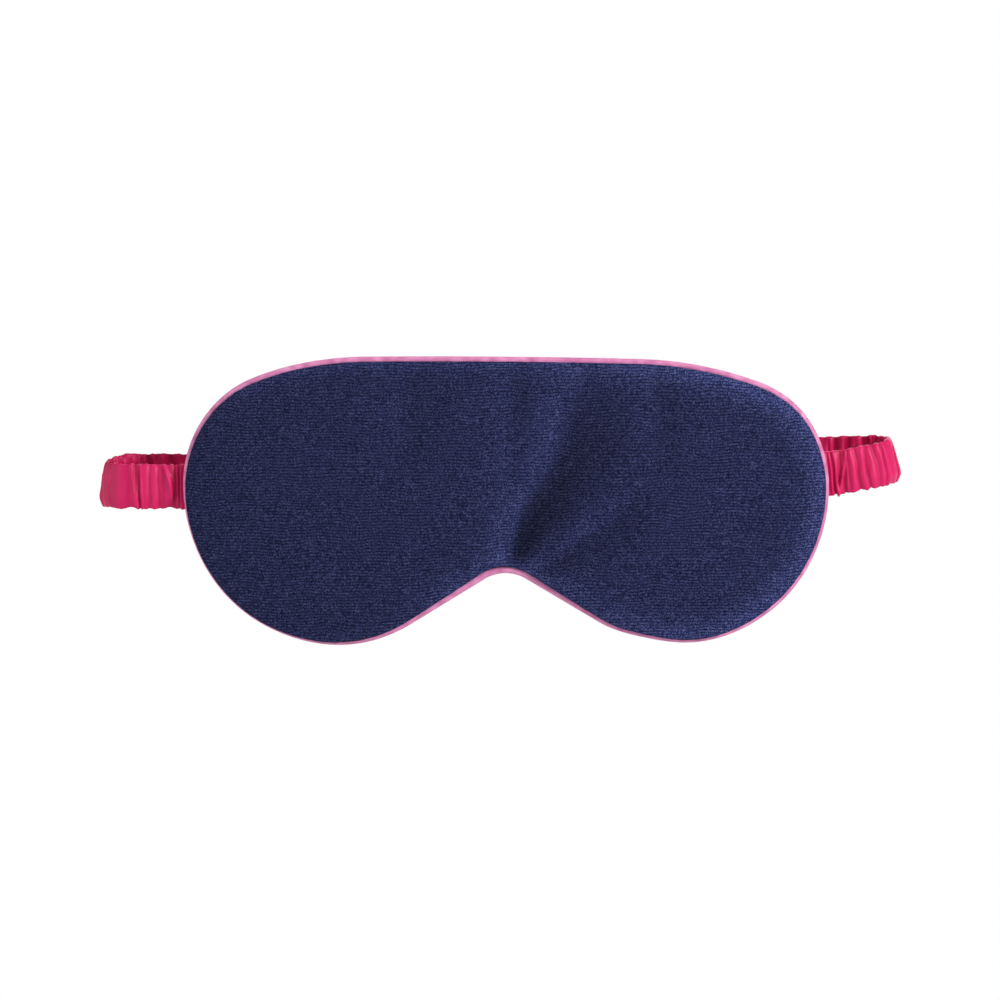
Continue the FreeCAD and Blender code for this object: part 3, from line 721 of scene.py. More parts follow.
# ------------------------------------------------------------------ the pad
class Face(Enum):
    """The way a panel of the pad faces, as a sign on Y."""

    FRONT = -1
    BACK = 1


CLOTH_FRAMES = 20
CLOTH_RUN = {
    "quality": 6,
    "mass": 0.2,
    "tension_stiffness": 30,
    "compression_stiffness": 30,
    "shear_stiffness": 12,
    "bending_stiffness": 1.5,
    "use_pressure": True,
}


@dataclass
class Panel:
    """One crowned panel of the pad: a closed form from its rolled edge to the middle.

    It is laid out as spokes from the edge to a short spine between the eyes, so its rows follow the
    seam. rows gives the edge's section as pairs of inset and Y, from the hidden side outwards.
    """

    name: str
    edge: SewnEdge
    face: Face
    rows: Sequence[tuple[float, float]]
    crown: float
    overhang: Callable[[np.ndarray], np.ndarray] | None = None
    around: int = 420
    inner_rows: int = 26
    hidden_rows: int = 5
    crown_reach: float = 30.0 * MM
    spine_half: float = 58.0 * MM
    spine_height: float = 4.0 * MM
    pressure: float = 4.0
    swell: float = 1.5 * MM
    pinned_rows: int = 3

    def spine(self, u: np.ndarray) -> np.ndarray:
        """Spine point that the spoke at u runs to; the spokes above and below meet in pairs.

        Args:
            u: where on the edge the spoke starts.

        Returns:
            Points in X and Z.
        """
        fold = 1 - 2 * np.abs((u % 1.0) - 0.5)
        along = self.spine_half * np.cos(math.pi * fold)
        return np.column_stack([along, np.full(len(u), self.spine_height)])

    def place(self, u: np.ndarray, v: np.ndarray) -> np.ndarray:
        """Places the closed panel: v runs from the crown's spine over the edge to the hidden side.

        Args:
            u: once round the edge, from 0 to 1.
            v: the row, from 0 to 1.

        Returns:
            Places of the vertices.
        """
        edge, normal = self.edge.at(u)
        over = self.overhang(edge) if self.overhang else np.zeros(len(edge))
        spine = self.spine(u)
        section = len(self.rows)
        total = self.inner_rows + section + self.hidden_rows - 1
        row = np.rint(v * total).astype(int)
        flat = np.empty((len(u), 2))
        depth = np.empty(len(u))
        deepest = self.rows[-1][0]
        for index in range(total + 1):
            here = row == index
            if index < self.inner_rows:
                inset, y = self.rows[-1]
                part = 1 - index / self.inner_rows
            elif index < self.inner_rows + section:
                inset, y = self.rows[section - 1 - (index - self.inner_rows)]
                part = 0.0
            else:
                inset, y = self.rows[0]
                part = (index - self.inner_rows - section + 1) / self.hidden_rows
            raised = y * self.face.value > self.rows[1][1] * self.face.value
            share = max(0.0, 1 - inset / deepest) if raised and 0 < index < total else 0.0
            start = edge[here] + normal[here] * (inset - over[here] * share)[:, None]
            flat[here] = start + (spine[here] - start) * part
            depth[here] = y
        return np.column_stack([flat[:, 0], depth, flat[:, 1]])

    def build(self) -> bpy.types.Object:
        """Makes the panel, inflates it and gives it its lasting form.

        Returns:
            The finished piece.
        """
        total = self.inner_rows + len(self.rows) + self.hidden_rows - 1
        piece = grid_piece(self.name, self.around, total, self.place)
        places = vertex_values(piece.data)
        inside = self.edge.inside(places[:, [0, 2]])
        last_inset, last_depth = self.rows[-1]
        lifted = self.lifted(places)
        middle = lifted & (inside > last_inset - 0.2 * MM)
        part = np.clip((inside - last_inset) / (self.crown_reach - last_inset), 0, 1)
        rise = np.sin(part * math.pi / 2)
        places[middle, 1] = last_depth + (self.crown - last_depth) * rise[middle]
        set_coordinates(piece.data, places)
        pinned = np.nonzero(~lifted | (inside < self.rows[-self.pinned_rows][0]))[0]
        self.inflate(piece, pinned.tolist())
        return piece

    def lifted(self, places: np.ndarray) -> np.ndarray:
        """True for the places on the open side of the panel, away from its seat."""
        return (places[:, 1] - self.rows[0][1]) * self.face.value > 0.2 * MM

    def inflate(self, piece: bpy.types.Object, pinned: list[int]) -> None:
        """Inflates the panel as cloth held at its seam, then keeps a capped share of the swelling.

        Args:
            piece: the panel.
            pinned: vertices that stay where the seam holds them.
        """
        scene = bpy.context.scene
        start = vertex_values(piece.data)
        group = piece.vertex_groups.new(name="seam")
        group.add(pinned, 1.0, "REPLACE")
        cloth = piece.modifiers.new("Cloth", "CLOTH")
        for name, value in CLOTH_RUN.items():
            setattr(cloth.settings, name, value)
        cloth.settings.uniform_pressure_force = self.pressure
        cloth.settings.effector_weights.gravity = 0
        cloth.settings.vertex_group_mass = "seam"
        cloth.collision_settings.use_collision = False
        cloth.point_cache.frame_start = 1
        cloth.point_cache.frame_end = CLOTH_FRAMES
        for step in range(1, CLOTH_FRAMES + 1):
            scene.frame_set(step)
        graph = bpy.context.evaluated_depsgraph_get()
        shaped = piece.evaluated_get(graph).to_mesh()
        moved = vertex_values(shaped) - start
        piece.evaluated_get(graph).to_mesh_clear()
        piece.modifiers.remove(cloth)
        scene.frame_set(1)
        length = np.linalg.norm(moved, axis=1)
        LOG.info("%s swelled by up to %.1f mm", self.name, length.max() / MM)
        keep = self.swell / (self.swell + length)
        set_coordinates(piece.data, start + moved * keep[:, None])
        piece.vertex_groups.clear()


@dataclass(frozen=True)
class Crease:
    """One soft fold of the pad: a valley along an arc with a left and a right flank of their own width.

    Places and sizes are in mm on the front of the mask, X and Z; heading is in degrees from upright.
    """

    start: tuple[float, float]
    heading: float
    bend: float
    length: float
    left: float
    right: float
    flare: float
    depth: float
    sway: float = 0.0

    def height(self, flat: np.ndarray) -> np.ndarray:
        """Depth in metres at X, Z places in metres; positive presses the cloth in.

        Args:
            flat: N by 2 array of places.

        Returns:
            One depth for each.
        """
        run_out = math.radians(self.heading)
        along = np.array([math.sin(run_out), math.cos(run_out)])
        rel = flat / MM - np.array(self.start)
        run = rel @ along
        across = rel @ np.array([along[1], -along[0]]) - self.bend * (run / self.length) ** 2
        across += self.sway * bell((run, 14, 12))
        grown = self.flare * np.clip(run, 0, self.length)
        half = np.where(across < 0, self.left + 0.35 * grown, self.right + grown)
        fade = smooth(-7.0, 3.0, run) * (1 - smooth(0.5 * self.length, self.length, run))
        return self.depth * MM * fade * np.exp(-((np.abs(across) / half) ** 1.7))


CREASES = tuple(
    Crease(*row)
    for row in (
        # start, heading, bend, length, left, right, flare, depth and sway
        ((1.2, -20.0), 24.0, -3.0, 84.0, 5.0, 6.5, 0.17, 3.2, 2.4),
        ((10.0, -22.5), 58.0, -3.0, 52.0, 3.4, 5.0, 0.10, 1.3),
        ((1.0, 6.0), 2.0, 0.0, 70.0, 6.0, 6.0, 0.0, 0.8),
        ((50.0, 14.0), -4.0, 0.0, 60.0, 6.0, 6.0, 0.0, 0.6),
        ((-33.0, 12.0), 3.0, 0.0, 70.0, 7.0, 7.0, 0.0, 0.5),
    )
)


@dataclass
class Pad:
    """The padded body of the mask: velour front, satin back and the wadding between them."""

    edge: SewnEdge
    seam: float = -5.0 * MM
    front_crown: float = -9.9 * MM
    wadding_crown: float = -8.3 * MM
    back_crown: float = 0.25 * MM

    @staticmethod
    def front_overhang(places: np.ndarray) -> np.ndarray:
        """How far the front roll stands out over the piping: most at the left and at the bottom.

        Args:
            places: N by 2 array of X, Z places on the edge.

        Returns:
            One distance for each.
        """
        x, z = places[:, 0] / MM, places[:, 1] / MM
        left = bell((x, -106, 22), (z, -14, 34))
        low_left = bell((x, -74, 30), (z, -40, 20))
        low_right = bell((x, 62, 44), (z, -46, 16))
        right = bell((x, 106, 16), (z, -2, 40))
        notch = bell((x, -6, 30), (z, -25, 12))
        peak = bell((x, -4, 10), (z, -24, 7))
        outward = 1.5 * left + 1.3 * low_left + 0.7 * low_right + 0.7 * right
        return np.clip(outward - 0.8 * notch - 0.5 * peak, -1.3, 1.6) * MM

    def panel(
        self, name: str, face: Face, rows: Iterable[tuple[float, float]], crown: float, **sizes: float
    ) -> Panel:
        """One layer's panel.

        Args:
            name: the piece's name.
            face: the way it faces.
            rows: its rolled edge as pairs of inset and depth in mm, from the hidden side outwards.
            crown: Y of its middle.
            sizes: the panel's other sizes where they differ.

        Returns:
            The panel, which stays inside the piping.
        """
        section = [(inset * MM, -depth * MM) for inset, depth in rows]
        return Panel(name, self.edge, face, section, crown, **sizes)

    def build_front(self, material: bpy.types.Material) -> None:
        """Velour front panel, crowned over its wadding and creased at the nose.

        Args:
            material: its finish.
        """
        insets, depths = (2.9, 2.5, 1.7, 1.5, 1.8, 2.7, 4.2), (5.0, 6.1, 6.7, 7.4, 8.0, 8.6, 9.0)
        panel = self.panel("velour_front", Face.FRONT, zip(insets, depths), self.front_crown)
        panel.overhang = self.front_overhang
        piece = panel.build()
        self.mould(piece, panel)
        self.brush(piece, panel)
        self.finish(piece, material, Slot.VELOUR, "front_panel", 0.6)

    def build_wadding(self, material: bpy.types.Material) -> None:
        """Spun wadding that fills the front panel.

        Args:
            material: its finish.
        """
        insets, depths = (4.2, 3.6, 3.4, 3.8, 4.8), (5.6, 6.4, 6.9, 7.3, 7.6)
        sizes = {"around": 240, "inner_rows": 18, "swell": 1.2 * MM}
        panel = self.panel("wadding_fill", Face.FRONT, zip(insets, depths), self.wadding_crown, **sizes)
        piece = panel.build()
        self.mould(piece, panel)
        self.finish(piece, material, Slot.WADDING, "wadding", 0.6)

    def build_back(self, material: bpy.types.Material) -> None:
        """Satin back panel on the face side.

        Args:
            material: its finish.
        """
        insets, depths = (2.9, 2.5, 1.9, 1.7, 2.1, 3.0, 4.2), (4.9, 4.0, 3.3, 2.6, 1.8, 1.1, 0.6)
        sizes = {"crown_reach": 18.0 * MM, "swell": 0.6 * MM}
        panel = self.panel("satin_back", Face.BACK, zip(insets, depths), self.back_crown, **sizes)
        piece = panel.build()
        places = vertex_values(piece.data)
        uneven = ripple(places * np.array([1.0, 0.2, 1.0]), 13 * MM, 9.4) * 0.18 * MM
        inner = smooth(2 * MM, 14 * MM, self.edge.inside(places[:, [0, 2]]))
        places[:, 1] += uneven * inner * panel.lifted(places)
        set_coordinates(piece.data, places)
        self.finish(piece, material, Slot.BACK, "back_panel", 0.4)

    def mould(self, piece: bpy.types.Object, panel: Panel) -> None:
        """Presses the creases and the slight unevenness of the filling into a front layer.

        The stored attribute holds painted light and shade: above a half it makes the crease flanks that
        face the key lamp at the right, the front towards the right and the rims at the right, top,
        bottom and notch paler, below a half it makes the crease flanks that face left darker.

        Args:
            piece: the layer.
            panel: the panel that it was built from.
        """
        places = vertex_values(piece.data)
        lifted = panel.lifted(places)
        flat = places[:, [0, 2]]
        pressed = self.pressed(flat)
        step = np.array([0.9, -0.3]) * MM
        slope = (self.pressed(flat + step) - self.pressed(flat - step)) / (2 * MM)
        inside = self.edge.inside(flat)
        x, z = flat[:, 0] / MM, flat[:, 1] / MM
        # Painted highlight: paler rims at the right, top, bottom and round the notch, where the key lamp
        # at the right catches the edge.
        right = smooth(-30.0, 95.0, x) * (1 - smooth(2.0 * MM, 12 * MM, inside))
        rim = 1 - smooth(2.0 * MM, 7 * MM, inside)
        top, bottom = smooth(25.0, 40.0, z) * rim, smooth(-30.0, -42.0, z) * rim
        notch = bell((x, -5, 26), (z, -28, 12)) * (1 - smooth(2 * MM, 11 * MM, inside))
        # Painted light and shade: crease flanks that face right, towards the key lamp, paler and those
        # that face left darker; the whole front a little paler towards the right.
        painted_shade = 0.46 + np.where(slope > 0, 1.15, 1.9) * slope + 0.08 * smooth(-80.0, 60.0, x)
        painted_shade += 0.85 * right + 0.70 * notch + 0.30 * top + 0.14 * bottom
        store(piece.data, "painted_shade", np.clip(painted_shade, 0, 1.6))
        inner = smooth(1.5 * MM, 12 * MM, inside)
        uneven = ripple(places * np.array([1.0, 0.0, 1.0]), 24 * MM, 3.1) * 0.30 * MM
        places[:, 1] += (pressed * smooth(0.5 * MM, 5 * MM, inside) + uneven * inner) * lifted
        set_coordinates(piece.data, places)

    @staticmethod
    def brush(piece: bpy.types.Object, panel: Panel) -> None:
        """Roughens the outline of a pile cloth by a tenth of a millimetre, as brushed pile does.

        Args:
            piece: the cloth.
            panel: the panel that it was built from.
        """
        places = vertex_values(piece.data)
        tuft = ripple(places, 1.5 * MM, 7.0) * 0.16 * MM * panel.lifted(places)
        places += vertex_values(piece.data, "normal") * tuft[:, None]
        set_coordinates(piece.data, places)

    @staticmethod
    def pressed(flat: np.ndarray) -> np.ndarray:
        """Depth of all the creases together at X, Z places."""
        return sum(crease.height(flat) for crease in CREASES)

    @staticmethod
    def finish(
        piece: bpy.types.Object, material: bpy.types.Material, slot: Slot, node_name: str, fill: float
    ) -> None:
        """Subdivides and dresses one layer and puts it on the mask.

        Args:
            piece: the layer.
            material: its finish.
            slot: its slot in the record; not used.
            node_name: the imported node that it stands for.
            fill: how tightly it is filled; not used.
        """
        smoother = piece.modifiers.new("Subdivision", "SUBSURF")
        smoother.levels = 1
        smoother.render_levels = 1
        sew_in(piece, material, node_name)


# ------------------------------------------------------------------ the piping
@dataclass
class Piping:
    """Satin-covered cord sewn into the edge all round."""

    edge: SewnEdge
    radius: float = 1.3 * MM
    cord_radius: float = 0.8 * MM
    seam: float = -5.0 * MM
    around: int = 900
    section: int = 16

    def tube(self, name: str, radius: float) -> bpy.types.Object:
        """A tube round the whole edge, on the piping's middle line.

        Args:
            name: the piece's name.
            radius: its outer radius.

        Returns:
            The closed tube.
        """

        def place(u: np.ndarray, v: np.ndarray) -> np.ndarray:
            """Places at u along the piece and v round its section."""
            edge, normal = self.edge.at(u)
            angle = 2 * math.pi * v
            reach = self.radius - radius * np.cos(angle)
            flat = edge + normal * reach[:, None]
            return np.column_stack([flat[:, 0], self.seam - radius * np.sin(angle), flat[:, 1]])

        return grid_piece(name, self.around, self.section, place)

    def build(self, satin: bpy.types.Material, cotton: bpy.types.Material) -> None:
        """Makes the cover with the small puckers of a gathered bias strip, and the cord in it.

        Args:
            satin: the cover's finish.
            cotton: the cord's finish.
        """
        cover = self.tube("satin_piping", self.radius)
        places = vertex_values(cover.data)
        pucker = ripple(places, 2.4 * MM, 5.0)
        places += vertex_values(cover.data, "normal") * (pucker * 0.05 * MM)[:, None]
        set_coordinates(cover.data, places)
        # Painted shade: the puckers get a paler colour where they swell out and a deeper one where they
        # sink in.
        store(cover.data, "fold", np.clip(0.5 + 0.45 * pucker, 0, 1))
        sew_in(cover, satin, "piping_cover")
        cord = self.tube("cotton_cord", self.cord_radius)
        sew_in(cord, cotton, "piping_cord")


# ------------------------------------------------------------------ the strap
@dataclass
class StrapRoute:
    """The strap's middle line, from the left seam round the back of the loop to the right seam."""

    root: float = 103.0 * MM
    reach_left: float = 133.9 * MM
    reach_right: float = 129.8 * MM
    start_depth: float = -2.65 * MM
    turn_radius: float = 9.0 * MM
    thickness: float = 3.0 * MM
    bow: float = math.radians(14.0)
    step: float = 0.25 * MM
    points: np.ndarray = field(init=False)
    tangents: np.ndarray = field(init=False)
    length: float = field(init=False)

    def __post_init__(self) -> None:
        """Lays the plan route out of two runs, two turns and the long back bow."""
        left, right = self.reach_left - self.thickness / 2, self.reach_right - self.thickness / 2
        radius = self.turn_radius
        centre_y = self.start_depth + radius
        middle = (right - left) / 2
        half = (left + right) / 2 - radius
        back_radius = radius + half / math.sin(self.bow)
        back_y = centre_y - (back_radius - radius) * math.cos(self.bow)
        runs = [
            self.line((-self.root, self.start_depth), (-left + radius, self.start_depth)),
            self.arc((-left + radius, centre_y), radius, -math.pi / 2, -3 * math.pi / 2 + self.bow),
            self.arc((middle, back_y), back_radius, math.pi / 2 + self.bow, math.pi / 2 - self.bow),
            self.arc((right - radius, centre_y), radius, math.pi / 2 - self.bow, -math.pi / 2),
            self.line((right - radius, self.start_depth), (self.root, self.start_depth)),
        ]
        plan = np.vstack(runs)
        steps = np.hypot(*np.diff(plan, axis=0).T)
        keep = np.concatenate([[True], steps > 1e-9])
        plan = plan[keep]
        station = np.concatenate([[0.0], np.cumsum(np.hypot(*np.diff(plan, axis=0).T))])
        self.length = float(station[-1])
        even = np.linspace(0.0, self.length, int(self.length / self.step) + 1)
        self.points = np.column_stack([np.interp(even, station, plan[:, axis]) for axis in (0, 1)])
        ahead = np.gradient(self.points, axis=0)
        self.tangents = ahead / np.hypot(ahead[:, 0], ahead[:, 1])[:, None]

    @staticmethod
    def line(start: tuple[float, float], end: tuple[float, float]) -> np.ndarray:
        """Points of a straight run."""
        return np.linspace(start, end, 200)

    @staticmethod
    def arc(centre: tuple[float, float], radius: float, start: float, end: float) -> np.ndarray:
        """Points of an arc."""
        angles = np.linspace(start, end, 400)
        return np.array(centre) + radius * np.column_stack([np.cos(angles), np.sin(angles)])

    def at(self, station: np.ndarray) -> tuple[np.ndarray, np.ndarray]:
        """Plan places and directions at distances along the route.

        Args:
            station: distances from the left seam.

        Returns:
            Places and unit directions in X and Y.
        """
        where = np.clip(station / self.length, 0, 1) * (len(self.points) - 1)
        index = np.arange(len(self.points))
        place = np.column_stack([np.interp(where, index, self.points[:, axis]) for axis in (0, 1)])
        ahead = np.column_stack([np.interp(where, index, self.tangents[:, axis]) for axis in (0, 1)])
        return place, ahead / np.hypot(ahead[:, 0], ahead[:, 1])[:, None]

    def height(self, station: np.ndarray) -> np.ndarray:
        """Height of the middle line, which climbs towards the right turn.

        Args:
            station: distances from the left seam.

        Returns:
            One height for each.
        """
        marks = np.array([0, 8, 22, 32, 44, 80, 160, 240, 270, 290, 306, 322, 330])
        heights = np.array([4.3, 4.3, 4.4, 4.7, 6.6, 5.9, 7.8, 10.2, 11.8, 13.0, 12.4, 9.2, 8.1])
        return np.interp(station / self.length, marks / marks[-1], heights * MM)

    def drawn_in(self, station: np.ndarray, rise: np.ndarray) -> np.ndarray:
        """How far the strap leans inwards in the turns, where its lower edge stands furthest out.

        Args:
            station: distance along the strap.
            rise: height over the strap's middle line.

        Returns:
            The shift inwards, with the lowest corner drawn in again.
        """
        part = station / self.length
        slope = 0.16 * bell((part, 0.12, 0.055)) + 0.34 * bell((part, 0.88, 0.055))
        corner = smooth(-3.6 * MM, -7.3 * MM, rise) * 5.0 * MM
        return slope * (rise + corner)


@dataclass(frozen=True)
class Gather:
    """One fold of the gathered casing, in mm.

    station is the distance from the seam to its middle, slant the shift from its lower end to its upper
    end and bow its curve. A positive height is a ridge and a negative one a pinched valley.
    """

    station: float
    slant: float
    bow: float
    width: float
    height: float
    low: float = 1.0
    high: float = 1.0

    def lift(self, station: np.ndarray, across: np.ndarray) -> np.ndarray:
        """Height in mm at a distance from the seam and a place across from -1 to 1.

        Args:
            station: distance from the seam in metres.
            across: place across the strap.

        Returns:
            The fold's height.
        """
        middle = self.station + self.slant * across / 2 + self.bow * (1 - across**2)
        away = (station / MM - middle) / self.width
        ends = self.low + (self.high - self.low) * (across + 1) / 2
        return self.height * ends * np.exp(-(np.abs(away) ** 1.5))


def gathered(*rows: tuple[float, ...]) -> tuple[Gather, ...]:
    """Gathers from rows of station, slant, bow, width, height and, where they differ, low and high."""
    return tuple(Gather(*row) for row in rows)


LEFT_GATHERS = gathered(
    (3.3, 0.2, 0.0, 0.35, 0.60),
    (4.2, 0.4, 0.0, 0.50, -0.70),
    (4.6, 1.2, 0.2, 0.40, 0.75, 0.7, 1.1),
    (6.0, -0.8, 0.0, 0.75, -1.05, 1.2, 0.7),
    (7.6, 2.7, -0.5, 0.50, 0.95),
    (9.4, 0.3, -0.3, 0.60, -0.60, 0.6, 1.1),
    (10.8, 0.4, 0.0, 0.55, -0.35, 1.3, 0.4),
    (12.3, 0.0, 0.2, 1.10, 0.42),
    (13.8, 0.3, 0.0, 0.60, -0.30, 1.2, 0.5),
    (15.1, -0.2, 0.2, 0.90, 0.36, 0.5, 1.2),
    (16.4, -0.2, 0.0, 0.30, 0.62, 1.1, 0.8),
    (17.1, 0.0, 0.0, 0.38, -0.75, 1.0, 0.9),
    (18.0, 0.2, 0.0, 0.75, -0.65, -0.9, 1.6),
    (19.0, 1.2, 0.0, 0.45, 0.50, 0.4, 1.2),
    (20.8, 0.6, 0.0, 1.30, -0.20),
    (23.2, 0.3, 0.0, 1.60, 0.20),
    (26.0, 0.4, 0.0, 1.30, -0.14),
)
RIGHT_GATHERS = gathered(
    (2.6, -1.6, 0.0, 0.35, -0.45),
    (3.6, -2.6, 0.0, 0.35, 0.60),
    (4.5, -2.7, 0.0, 0.42, -0.62),
    (5.4, -2.4, 0.0, 0.40, 0.55),
    (6.6, -0.8, 0.2, 0.50, -0.90, 0.7, 1.2),
    (7.4, 1.5, 0.3, 0.45, 1.05),
    (8.2, -1.2, 0.0, 0.45, -0.85, 1.6, 0.7),
    (9.6, -2.2, 0.0, 0.40, -0.45, 0.6, 1.0),
    (10.9, -2.4, 0.2, 0.80, 0.48),
    (12.5, -2.2, 0.0, 0.50, -0.55, 1.3, 0.6),
    (14.3, -2.4, 0.2, 1.00, 0.50, 0.8, 1.0),
    (15.6, -2.6, 0.0, 0.45, -0.62, 1.2, 0.5),
    (16.9, -2.0, 0.3, 0.70, 0.45, 1.1, 0.6),
    (18.4, -2.6, 0.0, 0.50, -0.58, 0.8, 0.9),
    (19.9, -2.4, 0.3, 0.70, 0.40),
    (20.9, -2.2, 0.3, 0.30, -0.58, 0.9, 1.1),
    (21.8, -2.8, 0.3, 0.50, 0.45),
    (24.6, -1.6, 0.0, 1.60, 0.28),
    (26.6, -3.0, 0.0, 0.45, -0.60, 1.6, 0.0),
    (28.0, -3.0, 0.0, 0.50, 0.45, 1.5, 0.0),
)


@dataclass
class Casing:
    """The ruched satin casing: a flat tube whose cloth is gathered into cross folds by the elastic."""

    route: StrapRoute
    half_width: float = 7.3 * MM
    half_thick: float = 1.2 * MM
    section: int = 64
    pitch: float = 0.26 * MM
    single_reach: float = 33.0 * MM
    single_fade: float = 4.0 * MM
    valley_limit: float = 0.62
    fold_share: float = 0.95

    def folds(self, station: np.ndarray, across: np.ndarray, wall: np.ndarray) -> np.ndarray:
        """Height of the gathers in mm, negative in a valley.

        Args:
            station: distance along the strap.
            across: place across the strap, from -1 to 1.
            wall: 1 on the outer wall and -1 on the inner one, which lies against the elastic.

        Returns:
            The gathers' height.
        """
        ends = np.minimum(station, self.route.length - station)
        near_end = 1 - smooth(self.single_reach - self.single_fade, self.single_reach, ends)
        basis = np.column_stack([station / (3.1 * MM), across * 0.5, wall * 4.0])
        broad = waver(basis + np.array([0.0, 0.0, 1.7]))
        fine = waver(basis * np.array([2.6, 2.2, 1.0]) + np.array([0.0, 0.0, 9.0]))
        drift = waver(basis * np.array([0.8, 1.6, 1.0]) + np.array([0.0, 0.0, 5.0]))
        random = 1.25 * (0.42 - 2.0 * np.abs(broad)) + 0.55 * fine
        left = station < self.route.length / 2
        drawn = ends + (0.8 * drift + 0.12 * fine) * MM
        made = np.zeros(len(station))
        for gathers, here in ((LEFT_GATHERS, left), (RIGHT_GATHERS, ~left)):
            for gather in gathers:
                made[here] += gather.lift(drawn[here], across[here])
        made *= 1.15 + 0.7 * drift
        outside = (wall > 0) * near_end
        return made * outside + random * (1 - outside) + 0.14 * fine * outside

    def surface(self, station: np.ndarray, turn: np.ndarray) -> tuple[np.ndarray, np.ndarray]:
        """Places of the casing.

        Args:
            station: distance along the strap.
            turn: once round the flat tube, from 0 to 1.

        Returns:
            Places and the gathers' height there.
        """
        angle = 2 * math.pi * turn
        across = np.sign(np.sin(angle)) * np.abs(np.sin(angle)) ** 0.75
        wall = np.sign(np.cos(angle)) * np.abs(np.cos(angle)) ** 0.6
        outer = self.folds(station, across, np.ones(len(station)))
        inner = self.folds(station, across, -np.ones(len(station)))
        share = (wall + 1) / 2
        height = outer * share + inner * (1 - share)
        place, ahead = self.route.at(station)
        outward = np.column_stack([-ahead[:, 1], ahead[:, 0]])
        ruffle = np.where(across < 0, 0.75, 0.40) * MM * np.clip(height, -0.8, 1.0)
        rise = across * (self.half_width + ruffle * np.abs(across) ** 6)
        flatness = np.sqrt(np.abs(wall))
        limit = self.valley_limit
        lift = np.where(height < 0, -limit * np.tanh(-height / limit), height)
        swell = wall * self.half_thick + np.sign(wall) * lift * MM * flatness * self.fold_share
        swell = swell - self.route.drawn_in(station, rise)
        flat = place + outward * swell[:, None]
        up = self.route.height(station) + rise
        return np.column_stack([flat[:, 0], flat[:, 1], up]), height

    def stretch(self, name: str, start: float, end: float) -> bpy.types.Object:
        """One stretch of the casing between two distances along the strap.

        Args:
            name: the piece's name.
            start: distance at which it begins.
            end: distance at which it ends.

        Returns:
            The piece, with painted shade in its attribute "fold": deeper in the gathers' valleys and on
            the inner wall, paler on their ridges.
        """
        count = max(8, int((end - start) / self.pitch))

        def place(u: np.ndarray, v: np.ndarray) -> np.ndarray:
            """Places at u along the piece and v round its section."""
            return self.surface(start + (end - start) * u, v)[0]

        piece = grid_piece(name, count, self.section, place)
        layer = piece.data.uv_layers["Cloth"]
        uv = np.empty(len(piece.data.loops) * 2)
        layer.data.foreach_get("uv", uv)
        uv = uv.reshape(-1, 2)
        height = self.surface(start + (end - start) * uv[:, 0], uv[:, 1])[1]
        # Painted shade: the inner wall, which faces the elastic, is deepened, and the colour follows the
        # gathers, deep in their valleys and pale on their ridges.
        inner = smooth(0.2, -0.4, np.cos(2 * math.pi * uv[:, 1]))
        depth = np.clip(0.56 + 0.62 * height - 0.18 * inner, 0, 1)
        layer.data.foreach_set("uv", (uv * np.array([(end - start) / 0.01, 3.0])).reshape(-1))
        store(piece.data, "fold", depth, "CORNER")
        return piece


@dataclass
class Strap:
    """The strap: gathered ends sewn behind the piping, the casing's loop and the elastic in it."""

    casing: Casing
    end_length: float = 9.0 * MM
    elastic_half: float = 6.0 * MM
    elastic_thick: float = 0.6 * MM
    sides_until: float = -1.0 * MM
    back_from: float = 17.0 * MM

    def build(self, satin: bpy.types.Material, elastic: bpy.types.Material) -> None:
        """Builds every piece of the strap.

        Args:
            satin: the casing's finish.
            elastic: the elastic's finish.
        """
        route = self.casing.route
        for side in Side:
            self.build_end(side, satin)
        loop = self.casing.stretch("strap_loop", self.end_length, route.length - self.end_length)
        dress(loop, satin)
        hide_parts("strap_side_cover_left", "strap_side_cover_right", "strap_back_cover")
        self.follow(loop)
        band = self.build_elastic(elastic)
        self.follow(band)
        LOG.info("made the strap, %.0f mm round", route.length * 1000)

    def follow(self, piece: bpy.types.Object) -> None:
        """Bakes a piece's placement into its mesh."""
        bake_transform(piece)

    def build_end(self, side: Side, satin: bpy.types.Material) -> None:
        """One gathered end, from the seam behind the piping to the loop.

        Args:
            side: the side that it is sewn to.
            satin: its finish.
        """
        route = self.casing.route
        if side is Side.LEFT:
            start, end = 0.0, self.end_length
        else:
            start, end = route.length - self.end_length, route.length
        word = side.name.lower()
        piece = self.casing.stretch("strap_end_" + word, start, end)
        dress(piece, satin)
        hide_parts("strap_tail_" + word)
        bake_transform(piece)

    def build_elastic(self, material: bpy.types.Material) -> bpy.types.Object:
        """The flat elastic inside the casing.

        Args:
            material: its finish.

        Returns:
            The elastic.
        """
        route = self.casing.route
        start, end = self.end_length, route.length - self.end_length

        def place(u: np.ndarray, v: np.ndarray) -> np.ndarray:
            """Places at u along the piece and v round its section."""
            station = start + (end - start) * u
            plan, ahead = route.at(station)
            outward = np.column_stack([-ahead[:, 1], ahead[:, 0]])
            angle = 2 * math.pi * v
            rise = self.elastic_half * np.sin(angle)
            swell = self.elastic_thick * 0.5 * np.cos(angle) - route.drawn_in(station, rise)
            flat = plan + outward * swell[:, None]
            return np.column_stack([flat[:, 0], flat[:, 1], route.height(station) + rise])

        piece = grid_piece("strap_elastic", 320, 12, place)
        dress(piece, material)
        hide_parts("strap_side_elastic_left", "strap_side_elastic_right", "strap_back_elastic")
        return piece


